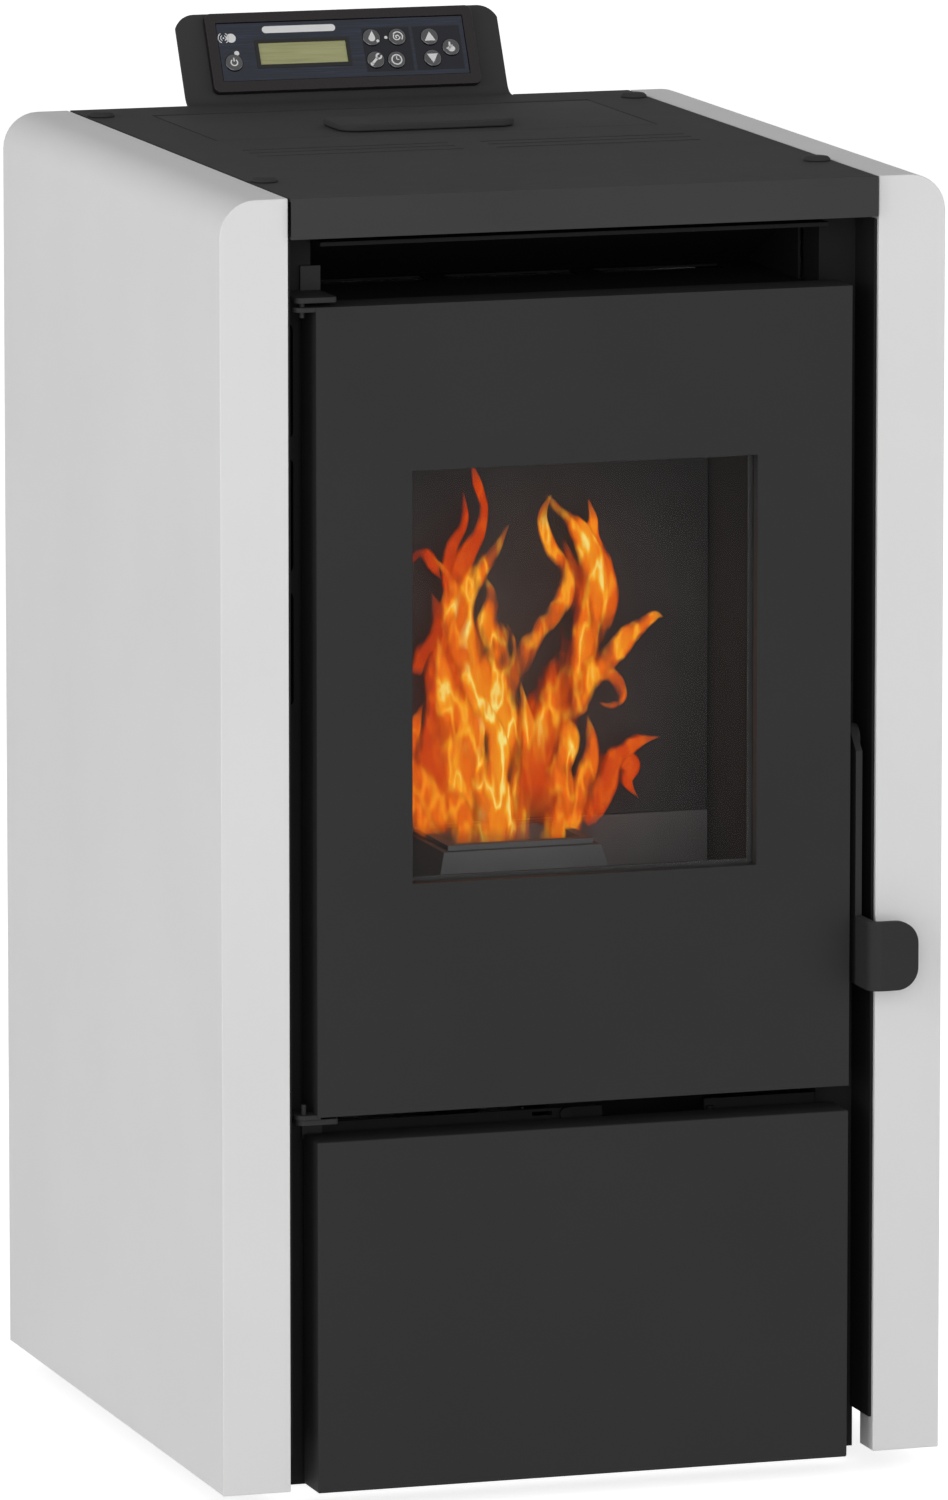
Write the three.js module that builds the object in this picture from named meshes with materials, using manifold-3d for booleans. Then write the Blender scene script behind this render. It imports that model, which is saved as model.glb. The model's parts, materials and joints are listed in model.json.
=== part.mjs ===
// A narrow free-standing pellet stove, built as a three.js scene graph in millimetres, +Z up.
// Seen from the front, X runs to the right and Y to the back. While the pieces are made, Z = 0 is the
// side panels' lower edge and Y = 0 their front face. The last lines centre the stove on its feet.

import * as THREE from 'three';
import { ConvexGeometry } from 'three/addons/geometries/ConvexGeometry.js';
import { mergeVertices } from 'three/addons/utils/BufferGeometryUtils.js';
import Module from 'manifold-3d';

// ---------------------------------------------------------------- driving dimensions

// clearances
const SEAT = 0.3; // gap between faces that rest on each other
const RUN = 0.5; // gap round a part that slides or turns

// sheet thicknesses
const SHEET = 2; // steel that shows
const THIN = 1.5; // steel inside
const PLATE = 3; // firebox steel

// casing
const CASING_WIDTH = 430;
const CASING_DEPTH = 446;
const CASING_HEIGHT = 739;
const CORNER_RADIUS = 21; // outside radius of the side panels' round upper edges
const FLANGE_WIDTH = 40; // front and top flanges of the side panels
const RETURN_DEPTH = 22.5; // how far the front flange turns back into the casing

// top plate and its bracket
const TOP_EDGE_GAP = 1.4; // slit between the top plate and each side panel
const FASCIA_FRONT = -3;
const FASCIA_HEIGHT = 23;
const FASCIA_HEM = 9; // depth of the hem at the fascia's lower edge
const VENT_ROW_Y = [CASING_DEPTH - 251, CASING_DEPTH - 235, CASING_DEPTH - 221];
const VENT_INNER_X = 10;
const VENT_OUTER_X = CASING_WIDTH / 2 - 81;
const VENT_WIDTH = 3;
const TOP_SCREW_X = CASING_WIDTH / 2 - 50;
const TOP_SCREW_Y = [78.5, CASING_DEPTH - 36.3];
const TOP_SCREW_HEAD_RADIUS = 7.8;
const TOP_SCREW_HEAD_HEIGHT = 2.6;
const TOP_SCREW_SHANK_RADIUS = 2.9;
const TOP_SCREW_LENGTH = 12;

// lid over the hopper
const LID_HALF_WIDTH = CASING_WIDTH / 2 - 81;
const LID_BACK = CASING_DEPTH - 40;
const LID_FRONT = LID_BACK - 131;
const LID_GAP = 1;
const LID_ROLL_RADIUS = 4.4; // rolled rear edge that the lid turns on
const LID_PIN_RADIUS = 2;
const BAR_HALF_WIDTH = 54;
const BAR_FRONT = LID_FRONT + 13;
const BAR_BACK = BAR_FRONT + 40;
const BAR_HEIGHT = 4.5;
const BAR_CORNER_RADIUS = 12;

// display, on a plane that leans back
const DISPLAY_Y = CASING_DEPTH + 2;
const DISPLAY_Z = CASING_HEIGHT + 3;
const DISPLAY_LEAN = 28; // degrees from upright
const BRACKET_HALF_WIDTH = 100.2;
const BRACKET_HEIGHT = 56; // along the slope
const BRACKET_CORNER_RADIUS = 13;
const BRACKET_SET_BACK = 4; // the bracket's face behind the display's face
const BRACKET_BEND_RADIUS = 10;
const BRACKET_FLAT = 8; // flat stretch of the bracket in front of its bend
const BEZEL_HALF_WIDTH = 83.2;
const BEZEL_BOTTOM = 4;
const BEZEL_TOP = 54.5;
const BEZEL_PROUD = 0.8; // the bezel's rim in front of the face plate
const FACE_HALF_WIDTH = 76.5;
const FACE_BOTTOM = 11.2;
const FACE_TOP = 47.8;
const FACE_THICKNESS = 1.5;
const DISPLAY_DEPTH = 22;
const DISPLAY_WALL = 1.2;
const SCREEN_LEFT = -53.4;
const SCREEN_RIGHT = 3.4;
const SCREEN_BOTTOM = 19.7;
const SCREEN_TOP = 36;
const SCREEN_THICKNESS = 7;
const KEY_RADIUS = 5.4;
const KEY_PROUD = 0.8;
const KEY_SIDES = 16;
const KEY_FLANGE = 0.4; // how far a key's flange reaches past its cap
const KEYS = {
  key_power: [-68.7, 22.8],
  key_flame: [18.5, 35.8],
  key_spiral: [34.5, 35.6],
  key_up: [54.6, 35],
  key_wrench: [19.2, 21.5],
  key_clock: [32.1, 21],
  key_down: [54.7, 21.3],
  key_hand: [67.1, 27.8],
};

// frame inside the casing
const POST_FRONT = 35;
const POST_INNER_X = CASING_WIDTH / 2 - 63.7;
const POST_BOTTOM = -4;
const POST_FLANGE_FRONT = 2.6; // front edge of the posts' forward flanges
const POST_FLANGE_BOTTOM = 20;
const POST_INNER_FLANGE_BACK = 62;
const SLOT_INNER_X = POST_INNER_X + 10.3;
const SLOT_OUTER_X = POST_INNER_X + 19.7;
const SLOT_TOP = CASING_HEIGHT - 75;
const SLOT_HEIGHT = 65.5;
const SLOT_PITCH = 76.4;
const SLOT_COUNT = 3;
const BASE_BOTTOM = -4;
const TOP_FLANGE_INNER_X = POST_INNER_X + 1.7; // inner edge of the frame's upper flanges

// feet
const FOOT_X = CASING_WIDTH / 2 - 85;
const FOOT_Y = [92, CASING_DEPTH - 51];
const FOOT_HEIGHT = 14; // floor below the side panels' lower edge
const FOOT_RADIUS = 18;
const STUD_RADIUS = 4;
const STUD_TOP = 30;
const FOOT_BOSS_RADIUS = 9;
const FOOT_BOSS_HEIGHT = 14;

// fire door
const DOOR_HALF_WIDTH = CASING_WIDTH / 2 - FLANGE_WIDTH - 16;
const DOOR_BOTTOM = 215.5;
const DOOR_TOP = CASING_HEIGHT - 62;
const DOOR_FRONT = -1;
const DOOR_RETURN_BACK = 27;
const WINDOW_HALF_WIDTH = DOOR_HALF_WIDTH - 56.4;
const WINDOW_BOTTOM = 346.7;
const WINDOW_TOP = DOOR_TOP - 94.3;
const GLASS_FRONT = 6.3;
const GLASS_THICKNESS = 4;
const GLASS_LAP = 3.6; // how far the glass reaches past the window's edge
const LINER_MARGIN = 10; // from the door skin's edge to the liner's
const GASKET_INSET = 24; // from the door skin's edge to the rope's centre line
const GASKET_WIDTH = 10;

// door hinges
const HINGE_X = -DOOR_HALF_WIDTH - 6.5;
const HINGE_Y = 5;
const HINGE_PIN_RADIUS = 1.5;
const HINGE_BRACKET_INNER_X = 13 - DOOR_HALF_WIDTH;
const HINGE_BRACKET_THICKNESS = 3.2;
const HINGE_LUG_THICKNESS = 2.5;
const HINGE_PIN_REACH = 8.5; // how far a pin reaches past its bracket

// latch
const LATCH_X = DOOR_HALF_WIDTH + 3.8;
const LATCH_THICKNESS = 3.8;
const LATCH_PIVOT_Y = 18;
const LATCH_PIVOT_Z = 414.3;
const LATCH_END_RADIUS = 9;
const LATCH_STUD_RADIUS = 4;
const LATCH_BOTTOM = 274;
const TAB_HEIGHT = 40;
const TAB_FRONT = -26;
const TAB_REACH_X = LATCH_X + 29.2;
const TAB_CORNER_RADIUS = 13;
const TAB_BEND_RADIUS = 7;
const STRIKER_Y = 29.3;
const STRIKER_Z = 417;
const STRIKER_PIN_RADIUS = 2;

// lower front panel and the sheet behind it
const LOWER_BOTTOM = -2;
const LOWER_TOP = 201;
const CROSS_BOTTOM = 20;
const CROSS_TOP = 205.5;

// firebox
const FIREBOX_HALF_WIDTH = POST_INNER_X - 7;
const FIREBOX_BACK = CASING_DEPTH - 243;
const FIREBOX_BOTTOM = 243;
const FIREBOX_TOP = DOOR_TOP - 14;
const MOUTH_HALF_WIDTH = FIREBOX_HALF_WIDTH - 18.3;
const MOUTH_TOP = FIREBOX_TOP - 15;
const FRONT_PLATE_BOTTOM = 214;
const FRONT_PLATE_TOP = FIREBOX_TOP + 5;
const FIREBACK_FRONT = FIREBOX_BACK - 13;
const FIREBACK_HALF_WIDTH = FIREBOX_HALF_WIDTH - 6.4;
const FIREBACK_BOTTOM = 346;
const FIREBACK_TOP = FIREBOX_TOP - 8;
const DECK_TOP = 300;
const DECK_THICKNESS = 4;
const KERB_HALF_WIDTH = 47.5;
const KERB_BACK = FIREBACK_FRONT - 3.7;
const KERB_FRONT = KERB_BACK - 72.3;
const KERB_TOP = 342.5;
const KERB_SLOPE = 12; // how much further out the kerb's foot is than its top
const POT_WALL = 6; // from the kerb's outer top edge to the pot's cavity seat
const POT_RIM = 3;
const DRAWER_HALF_WIDTH = MOUTH_HALF_WIDTH - 8;
const DRAWER_FRONT = 52;
const DRAWER_HEIGHT = 46;
const SMOKE_RIGHT = FIREBOX_HALF_WIDTH - 16.3;
const SMOKE_LEFT = SMOKE_RIGHT - 56;
const SMOKE_TOP = FIREBOX_TOP - 45;
const SMOKE_BOTTOM = SMOKE_TOP - 56;
const IGNITER_X = 20;
const IGNITER_Z = 315;
const IGNITER_RADIUS = 5;
const IGNITER_LENGTH = 54;

// air outlet above the door
const DUCT_FLOOR_TOP = FIREBOX_TOP + 10;
const CHEEK_FRONT = 66;
const LIP_FRONT = 17;
const LIP_BOTTOM = CASING_HEIGHT - 30;
const LIP_THICKNESS = 2.5;
const LIP_BACK = 72;
const DEFLECTOR_FOOT_Y = FIREBOX_BACK - 43;
const DUCT_BACK = DEFLECTOR_FOOT_Y + 5;
const AIR_SLOT_BACK = DEFLECTOR_FOOT_Y - 15;
const AIR_SLOT_FRONT = AIR_SLOT_BACK - 20;

// pellet feed
const HOPPER_HALF_WIDTH = LID_HALF_WIDTH + 26;
const HOPPER_FRONT = LID_FRONT + 5;
const HOPPER_BACK = CASING_DEPTH - 14;
const HOPPER_TOP = CASING_HEIGHT - 39;
const FUNNEL_TOP = HOPPER_TOP - 126;
const THROAT_HALF_WIDTH = 22;
const THROAT_BACK = HOPPER_BACK - 36;
const THROAT_FRONT = THROAT_BACK - 35.4;
const NECK_BACK = LID_BACK - 12.5;
const NECK_HALF_WIDTH = LID_HALF_WIDTH - 2.5;
const AUGER_TOP_Y = FIREBOX_BACK + 29;
const AUGER_TOP_Z = FIREBOX_TOP - 51;
const FUNNEL_BOTTOM = AUGER_TOP_Z - 260;
const AUGER_LEAN = 20; // degrees from upright
const AUGER_LENGTH = 323;
const AUGER_TUBE_RADIUS = 28;
const AUGER_TUBE_WALL = 2;
const SCREW_RADIUS = 24;
const SCREW_SHAFT_RADIUS = 7;
const SCREW_PITCH = 46;
const SCREW_TURNS = 6;
const FLIGHT_THICKNESS = 2.5;
const GEAR_MOTOR_RADIUS = 30;
const GEAR_MOTOR_LENGTH = 88;
const MOTOR_SHAFT_RADIUS = 5;
const CHUTE_HALF_WIDTH = 24;
const CHUTE_TOP = FIREBOX_TOP - 63;
const CHUTE_BOTTOM = CHUTE_TOP - 43;
const CHUTE_FRONT = FIREBACK_FRONT - 6;

// smoke path
const FLUE_RIGHT = FIREBOX_HALF_WIDTH - 4.3;
const FLUE_LEFT = FLUE_RIGHT - 95;
const FLUE_BACK = FIREBOX_BACK + 47;
const FLUE_BOTTOM = 60;
const FLUE_TOP = FIREBOX_TOP - 33;
const SMOKE_FAN_X = FLUE_RIGHT - 60;
const SMOKE_FAN_Z = 115;
const SMOKE_FAN_RADIUS = 60;
const SMOKE_FAN_DEPTH = 50;
const IMPELLER_RADIUS = 46;
const SMOKE_MOTOR_RADIUS = 36;
const SMOKE_MOTOR_LENGTH = 64;
const EXHAUST_X = SMOKE_FAN_X - 82;
const EXHAUST_Z = 78;
const EXHAUST_RADIUS = 40;
const EXHAUST_END = CASING_DEPTH + 45;

// room air and combustion air
const BLOWER_Y = CASING_DEPTH - 116;
const BLOWER_Z = 100;
const BLOWER_RADIUS = 58;
const BLOWER_LEFT = 47 - CASING_WIDTH / 2;
const BLOWER_RIGHT = BLOWER_LEFT + 70;
const BLOWER_OUTLET_TOP = 205;
const BLOWER_ROTOR_RADIUS = 46;
const BLOWER_MOTOR_RADIUS = 30;
const BLOWER_MOTOR_LENGTH = 40;
const INTAKE_X = -70;
const INTAKE_Z = 272;
const INTAKE_RADIUS = 25;
const INTAKE_END = CASING_DEPTH + 40;
const PIPE_WALL = 2;

// electrics on the rear panel and the left wall
const ELECTRIC_X = CASING_WIDTH / 2 - 85;
const INLET_Z = 50;
const SWITCH_Z = 88;
const RESET_Z = 122;
const RESET_RADIUS = 6;
const MODULE_HALF_WIDTH = 13.5; // inlet and switch share one moulding
const MODULE_MARGIN = 10;
const ROCKER_PIN_RADIUS = 1.2;
const ROCKER_HALF_WIDTH = 7;
const ROCKER_HALF_HEIGHT = 11;
const ROCKER_DEPTH = 6;
const ROCKER_RISE = 1; // the pressed face stands this far behind the other
const BOARD_FRONT = FIREBOX_BACK + 27;
const BOARD_BACK = BOARD_FRONT + 100;
const BOARD_BOTTOM = 380;
const BOARD_TOP = 520;

// ---------------------------------------------------------------- places worked out from them

const halfWidth = CASING_WIDTH / 2;
const panelInner = halfWidth - SHEET;
const flangeInner = halfWidth - FLANGE_WIDTH;
const topUnder = CASING_HEIGHT - SHEET;
const frameHalf = flangeInner - SEAT;
const frameInner = frameHalf - THIN;
const frameTop = topUnder - SEAT;
const postBack = POST_FRONT + SHEET;
const innerFront = postBack + SEAT;
const rearBack = CASING_DEPTH - SHEET - SEAT;
const rearFront = rearBack - THIN;
const frameBack = rearFront - SEAT;
const baseTop = BASE_BOTTOM + THIN;
const topHalf = flangeInner - TOP_EDGE_GAP;
const moduleLow = INLET_Z - MODULE_MARGIN;
const moduleHigh = SWITCH_Z + ROCKER_HALF_HEIGHT + 4;
const rad = THREE.MathUtils.degToRad;

// ---------------------------------------------------------------- making solids

const CURVE_STEPS = 5; // straight steps in each rounded corner

const wasm = await Module();
wasm.setup();

// a closed three.js geometry as a solid, with its points merged and a lathe's pole slivers dropped
function toSolid(geometry) {
  const bare = new THREE.BufferGeometry();
  bare.setAttribute('position', geometry.getAttribute('position'));
  bare.setIndex(geometry.index);
  const merged = mergeVertices(bare, 1e-4);
  const corners = merged.index.array;
  const kept = [];
  for (let i = 0; i < corners.length; i += 3) {
    const [a, b, c] = corners.slice(i, i + 3);
    if (a !== b && b !== c && c !== a) kept.push(a, b, c);
  }
  return new wasm.Manifold(new wasm.Mesh({
    numProp: 3,
    vertProperties: Float32Array.from(merged.getAttribute('position').array),
    triVerts: Uint32Array.from(kept),
  }));
}

function placed(geometry, place) {
  return toSolid(place ? geometry.applyMatrix4(place) : geometry);
}

function box(x0, x1, y0, y1, z0, z1, place) {
  const geometry = new THREE.BoxGeometry(x1 - x0, y1 - y0, z1 - z0);
  geometry.translate((x0 + x1) / 2, (y0 + y1) / 2, (z0 + z1) / 2);
  return placed(geometry, place);
}

// turns an XY drawing pulled along Z into one drawn in the plane named, pulled from low to high
function toPlane(geometry, plane, low, high) {
  if (plane === 'xy') geometry.translate(0, 0, low);
  if (plane === 'xz') geometry.rotateX(Math.PI / 2).translate(0, high, 0);
  if (plane === 'yz') {
    geometry.applyMatrix4(new THREE.Matrix4().set(0, 0, 1, low, 1, 0, 0, 0, 0, 1, 0, 0, 0, 0, 0, 1));
  }
  return geometry;
}

function prism(outline, plane, low, high, place) {
  const shape = Array.isArray(outline) ? new THREE.Shape(outline.map(([a, b]) => new THREE.Vector2(a, b))) : outline;
  const options = { depth: high - low, bevelEnabled: false, curveSegments: CURVE_STEPS };
  const geometry = new THREE.ExtrudeGeometry(shape, options);
  return placed(toPlane(geometry, plane, low, high), place);
}

// a rod along an axis; centre holds the other two coordinates in alphabetical order
function rod(axis, centre, radius, low, high, place, sides = 24) {
  const geometry = new THREE.CylinderGeometry(radius, radius, high - low, sides);
  const middle = (low + high) / 2;
  if (axis === 'x') geometry.rotateZ(-Math.PI / 2).translate(middle, centre[0], centre[1]);
  if (axis === 'y') geometry.translate(centre[0], middle, centre[1]);
  if (axis === 'z') geometry.rotateX(Math.PI / 2).translate(centre[0], centre[1], middle);
  return placed(geometry, place);
}

const join = (...solids) => solids.reduce((sum, next) => sum.add(next));
const cut = (solid, ...tools) => tools.reduce((rest, tool) => rest.subtract(tool), solid);

// a rectangle whose corners are rounded by the radii given: lower left, lower right, upper right, upper left
function roundedShape(x0, x1, z0, z1, [lowerLeft, lowerRight, upperRight, upperLeft]) {
  const shape = new THREE.Shape();
  shape.moveTo(x0 + lowerLeft, z0);
  shape.lineTo(x1 - lowerRight, z0);
  if (lowerRight) shape.absarc(x1 - lowerRight, z0 + lowerRight, lowerRight, -Math.PI / 2, 0);
  shape.lineTo(x1, z1 - upperRight);
  if (upperRight) shape.absarc(x1 - upperRight, z1 - upperRight, upperRight, 0, Math.PI / 2);
  shape.lineTo(x0 + upperLeft, z1);
  if (upperLeft) shape.absarc(x0 + upperLeft, z1 - upperLeft, upperLeft, Math.PI / 2, Math.PI);
  shape.lineTo(x0, z0 + lowerLeft);
  if (lowerLeft) shape.absarc(x0 + lowerLeft, z0 + lowerLeft, lowerLeft, Math.PI, 1.5 * Math.PI);
  return shape;
}

// a box with its corners rounded in the plane named
function roundedBox(x0, x1, z0, z1, radii, plane, low, high, place) {
  return prism(roundedShape(x0, x1, z0, z1, radii), plane, low, high, place);
}

// a shell of the wall given around a box, open on the sides named, such as '-y' or '+z'
function openBox(x0, x1, y0, y1, z0, z1, wall, open) {
  const inner = [x0 + wall, x1 - wall, y0 + wall, y1 - wall, z0 + wall, z1 - wall];
  const names = ['-x', '+x', '-y', '+y', '-z', '+z'];
  open.forEach((side) => {
    const which = names.indexOf(side);
    inner[which] += (which % 2 ? 2 : -2) * wall;
  });
  return cut(box(x0, x1, y0, y1, z0, z1), box(...inner));
}

// a flat ring between two boxes that share their depth
function frameRing(halfX, z0, z1, width, y0, y1) {
  const outer = box(-halfX, halfX, y0, y1, z0, z1);
  return cut(outer, box(width - halfX, halfX - width, y0 - 1, y1 + 1, z0 + width, z1 - width));
}

// ---------------------------------------------------------------- the scene graph

const stove = new THREE.Group();

const FINISHES = {
  greyPaint: [0xd4d4d4, 0.55, 0],
  blackPaint: [0x2f2f30, 0.6, 0],
  liningSteel: [0x232324, 0.7, 0.2],
  bareSteel: [0x9a9a9c, 0.4, 1],
  galvanised: [0xa9adb0, 0.5, 1],
  castIron: [0x5c5c5e, 0.75, 0.3],
  glass: [0x202224, 0.05, 0],
  rope: [0x4a4a48, 1, 0],
  plastic: [0x18181a, 0.5, 0],
  face: [0x20283a, 0.35, 0],
  screen: [0x969664, 0.3, 0],
  key: [0x101216, 0.2, 0],
  circuit: [0x1f5a3a, 0.6, 0],
  red: [0xa02020, 0.5, 0],
};

function piece(name, solid, finish) {
  const [color, roughness, metalness] = FINISHES[finish];
  const data = solid.getMesh();
  const geometry = new THREE.BufferGeometry();
  geometry.setAttribute('position', new THREE.BufferAttribute(Float32Array.from(data.vertProperties), 3));
  geometry.setIndex(new THREE.BufferAttribute(Uint32Array.from(data.triVerts), 1));
  const mesh = new THREE.Mesh(geometry, new THREE.MeshStandardMaterial({ color, roughness, metalness }));
  mesh.name = name;
  stove.add(mesh);
}

// ---------------------------------------------------------------- casing

// one sheet bent over the stove's upper edge, with a flange at the front and a return behind it
function sidePanel(side) {
  const x = (value) => side * value;
  const edge = (inset) => {
    const radius = CORNER_RADIUS - inset;
    const centreX = halfWidth - CORNER_RADIUS;
    const centreZ = CASING_HEIGHT - CORNER_RADIUS;
    return [0, 1, 2, 3, 4, 5, 6, 7, 8].map((step) => {
      const angle = (step / 8) * (Math.PI / 2);
      return [x(centreX + radius * Math.cos(angle)), centreZ + radius * Math.sin(angle)];
    });
  };
  const outer = [[x(halfWidth), 0], ...edge(0), [x(flangeInner), CASING_HEIGHT]];
  const inner = [[x(flangeInner), topUnder], ...edge(SHEET).reverse(), [x(panelInner), 0]];
  const skin = prism([...outer, ...inner], 'xz', 0, CASING_DEPTH);
  const flange = prism([...outer, [x(flangeInner), 0]], 'xz', 0, SHEET);
  const [low, high] = [x(flangeInner), x(flangeInner + SHEET)].sort((a, b) => a - b);
  const turned = box(low, high, 0, RETURN_DEPTH, 0, topUnder + 1);
  const [rearLow, rearHigh] = [x(halfWidth - RETURN_DEPTH), x(panelInner + 1)].sort((a, b) => a - b);
  const rear = box(rearLow, rearHigh, CASING_DEPTH - SHEET, CASING_DEPTH, 0, CASING_HEIGHT - CORNER_RADIUS);
  return join(skin, flange, turned, rear);
}

// the display's own axes: X, up the slope, and out of the face
const lean = rad(DISPLAY_LEAN);
const displayPlace = new THREE.Matrix4().makeBasis(
  new THREE.Vector3(1, 0, 0),
  new THREE.Vector3(0, Math.sin(lean), Math.cos(lean)),
  new THREE.Vector3(0, -Math.cos(lean), Math.sin(lean)),
).setPosition(0, DISPLAY_Y, DISPLAY_Z);

// the display bracket in one piece with the top plate: a flat stretch, a bend and the upright sheet
function displayBracket() {
  const faceY = DISPLAY_Y + BRACKET_SET_BACK * Math.cos(lean);
  const faceZ = DISPLAY_Z - BRACKET_SET_BACK * Math.sin(lean);
  const meetY = faceY - (faceZ - CASING_HEIGHT) * Math.tan(lean);
  const turn = Math.PI / 2 - lean;
  const centreY = meetY - BRACKET_BEND_RADIUS * Math.tan(turn / 2);
  const centreZ = CASING_HEIGHT + BRACKET_BEND_RADIUS;
  const arc = (radius) => [0, 1, 2, 3, 4, 5].map((step) => {
    const angle = (step / 5) * turn;
    return [centreY + radius * Math.sin(angle), centreZ - radius * Math.cos(angle)];
  });
  const up = (out) => [DISPLAY_Y + (BRACKET_HEIGHT + 5) * Math.sin(lean) + out * Math.cos(lean),
    DISPLAY_Z + (BRACKET_HEIGHT + 5) * Math.cos(lean) - out * Math.sin(lean)];
  const flatStart = centreY - BRACKET_FLAT;
  const strip = prism([[flatStart, CASING_HEIGHT], ...arc(BRACKET_BEND_RADIUS), up(BRACKET_SET_BACK),
    up(BRACKET_SET_BACK + SHEET), ...arc(BRACKET_BEND_RADIUS + SHEET).reverse(), [flatStart, topUnder]],
  'yz', -BRACKET_HALF_WIDTH, BRACKET_HALF_WIDTH);
  const outline = roundedBox(-BRACKET_HALF_WIDTH - 1, BRACKET_HALF_WIDTH + 1, -99, BRACKET_HEIGHT,
    [0, 0, BRACKET_CORNER_RADIUS, BRACKET_CORNER_RADIUS], 'xy', -99, 99, displayPlace);
  return { bracket: strip.intersect(outline), flatEnd: centreY };
}

function topPlate() {
  const { bracket, flatEnd } = displayBracket();
  const sheet = box(-topHalf, topHalf, FASCIA_FRONT, CASING_DEPTH, topUnder, CASING_HEIGHT);
  const tabCut = box(-BRACKET_HALF_WIDTH - 1, BRACKET_HALF_WIDTH + 1, flatEnd - BRACKET_FLAT / 2, CASING_DEPTH + 1,
    topUnder - 1, CASING_HEIGHT + 1);
  const fasciaBottom = CASING_HEIGHT - FASCIA_HEIGHT;
  const fascia = box(-topHalf, topHalf, FASCIA_FRONT, FASCIA_FRONT + SHEET, fasciaBottom, CASING_HEIGHT);
  const hem = box(-topHalf, topHalf, FASCIA_FRONT, FASCIA_FRONT + FASCIA_HEM, fasciaBottom, fasciaBottom + THIN);
  const housingHalf = FACE_HALF_WIDTH + RUN;
  const window = box(-housingHalf, housingHalf, FACE_BOTTOM - 3, FACE_TOP + 3, -BRACKET_SET_BACK - 9, 0,
    displayPlace);
  const lidHole = box(-LID_HALF_WIDTH - LID_GAP, LID_HALF_WIDTH + LID_GAP, LID_FRONT - LID_GAP, LID_BACK + LID_GAP,
    topUnder - 1, CASING_HEIGHT + 1);
  const slots = [-1, 1].flatMap((side) => VENT_ROW_Y.map((y) => {
    const [low, high] = [side * VENT_INNER_X, side * VENT_OUTER_X].sort((a, b) => a - b);
    return box(low, high, y - VENT_WIDTH / 2, y + VENT_WIDTH / 2, topUnder - 1, CASING_HEIGHT + 1);
  }));
  const screwHoles = [-1, 1].flatMap((side) => TOP_SCREW_Y.map((y) => (
    rod('z', [side * TOP_SCREW_X, y], TOP_SCREW_SHANK_RADIUS + SEAT, topUnder - 1, CASING_HEIGHT + 1, null, 12))));
  const pinZ = CASING_HEIGHT - LID_ROLL_RADIUS;
  const pinY = LID_BACK - LID_ROLL_RADIUS;
  const ears = [-1, 1].map((side) => {
    const inner = LID_HALF_WIDTH + 2 * LID_GAP;
    const [low, high] = [side * inner, side * (inner + SHEET)].sort((a, b) => a - b);
    const ear = box(low, high, pinY - LID_ROLL_RADIUS, pinY + LID_ROLL_RADIUS, pinZ - LID_ROLL_RADIUS - 1, topUnder);
    return cut(ear, rod('x', [pinY, pinZ], LID_PIN_RADIUS + SEAT, low - 1, high + 1, null, 16));
  });
  const flat = cut(sheet, tabCut, lidHole, ...slots, ...screwHoles);
  return join(flat, fascia, hem, cut(bracket, window), ...ears);
}

function topScrew(x, y) {
  const [radius, height] = [TOP_SCREW_HEAD_RADIUS, TOP_SCREW_HEAD_HEIGHT];
  const profile = [[0, -TOP_SCREW_LENGTH], [TOP_SCREW_SHANK_RADIUS, -TOP_SCREW_LENGTH],
    [TOP_SCREW_SHANK_RADIUS, 0], [radius, 0], [radius, height * 0.35], [radius * 0.8, height * 0.85],
    [radius * 0.5, height], [0, height]];
  const geometry = new THREE.LatheGeometry(profile.map(([r, h]) => new THREE.Vector2(r, h)), 18);
  return toSolid(geometry.rotateX(Math.PI / 2).translate(x, y, CASING_HEIGHT + SEAT));
}

// a sheet with its rear edge rolled round the pins that it turns on
function hopperLid() {
  const pinY = LID_BACK - LID_ROLL_RADIUS;
  const pinZ = CASING_HEIGHT - LID_ROLL_RADIUS;
  const sheet = box(-LID_HALF_WIDTH, LID_HALF_WIDTH, LID_FRONT, pinY, topUnder, CASING_HEIGHT);
  const roll = rod('x', [pinY, pinZ], LID_ROLL_RADIUS, -LID_HALF_WIDTH, LID_HALF_WIDTH);
  const pinEnd = LID_HALF_WIDTH + 2 * LID_GAP + SHEET + LID_GAP;
  return join(sheet, roll, rod('x', [pinY, pinZ], LID_PIN_RADIUS, -pinEnd, pinEnd, null, 16));
}

function lidHandleBar() {
  const radius = BAR_CORNER_RADIUS;
  return roundedBox(-BAR_HALF_WIDTH, BAR_HALF_WIDTH, BAR_FRONT, BAR_BACK, [radius, radius, 0, 0], 'xy',
    CASING_HEIGHT + SEAT, CASING_HEIGHT + SEAT + BAR_HEIGHT);
}

function rearPanel() {
  const half = panelInner - SEAT;
  const radius = CORNER_RADIUS - SHEET - SEAT;
  const panel = roundedBox(-half, half, SHEET, CASING_HEIGHT - SHEET - SEAT, [0, 0, radius, radius], 'xz',
    rearFront, rearBack);
  const through = [rearFront - 1, rearBack + 1];
  const grille = [0, 1, 2, 3, 4, 5, 6].map((row) => (
    box(BLOWER_LEFT + 3, BLOWER_RIGHT + 13, ...through, BLOWER_Z - 27 + row * 10, BLOWER_Z - 22 + row * 10)));
  return cut(panel,
    rod('y', [EXHAUST_X, EXHAUST_Z], EXHAUST_RADIUS + RUN, ...through, null, 40),
    rod('y', [INTAKE_X, INTAKE_Z], INTAKE_RADIUS + RUN, ...through, null, 32),
    box(ELECTRIC_X - MODULE_HALF_WIDTH - RUN, ELECTRIC_X + MODULE_HALF_WIDTH + RUN, ...through, moduleLow - RUN,
      moduleHigh + RUN),
    rod('y', [ELECTRIC_X, RESET_Z], RESET_RADIUS + RUN, ...through),
    ...grille);
}

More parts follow.
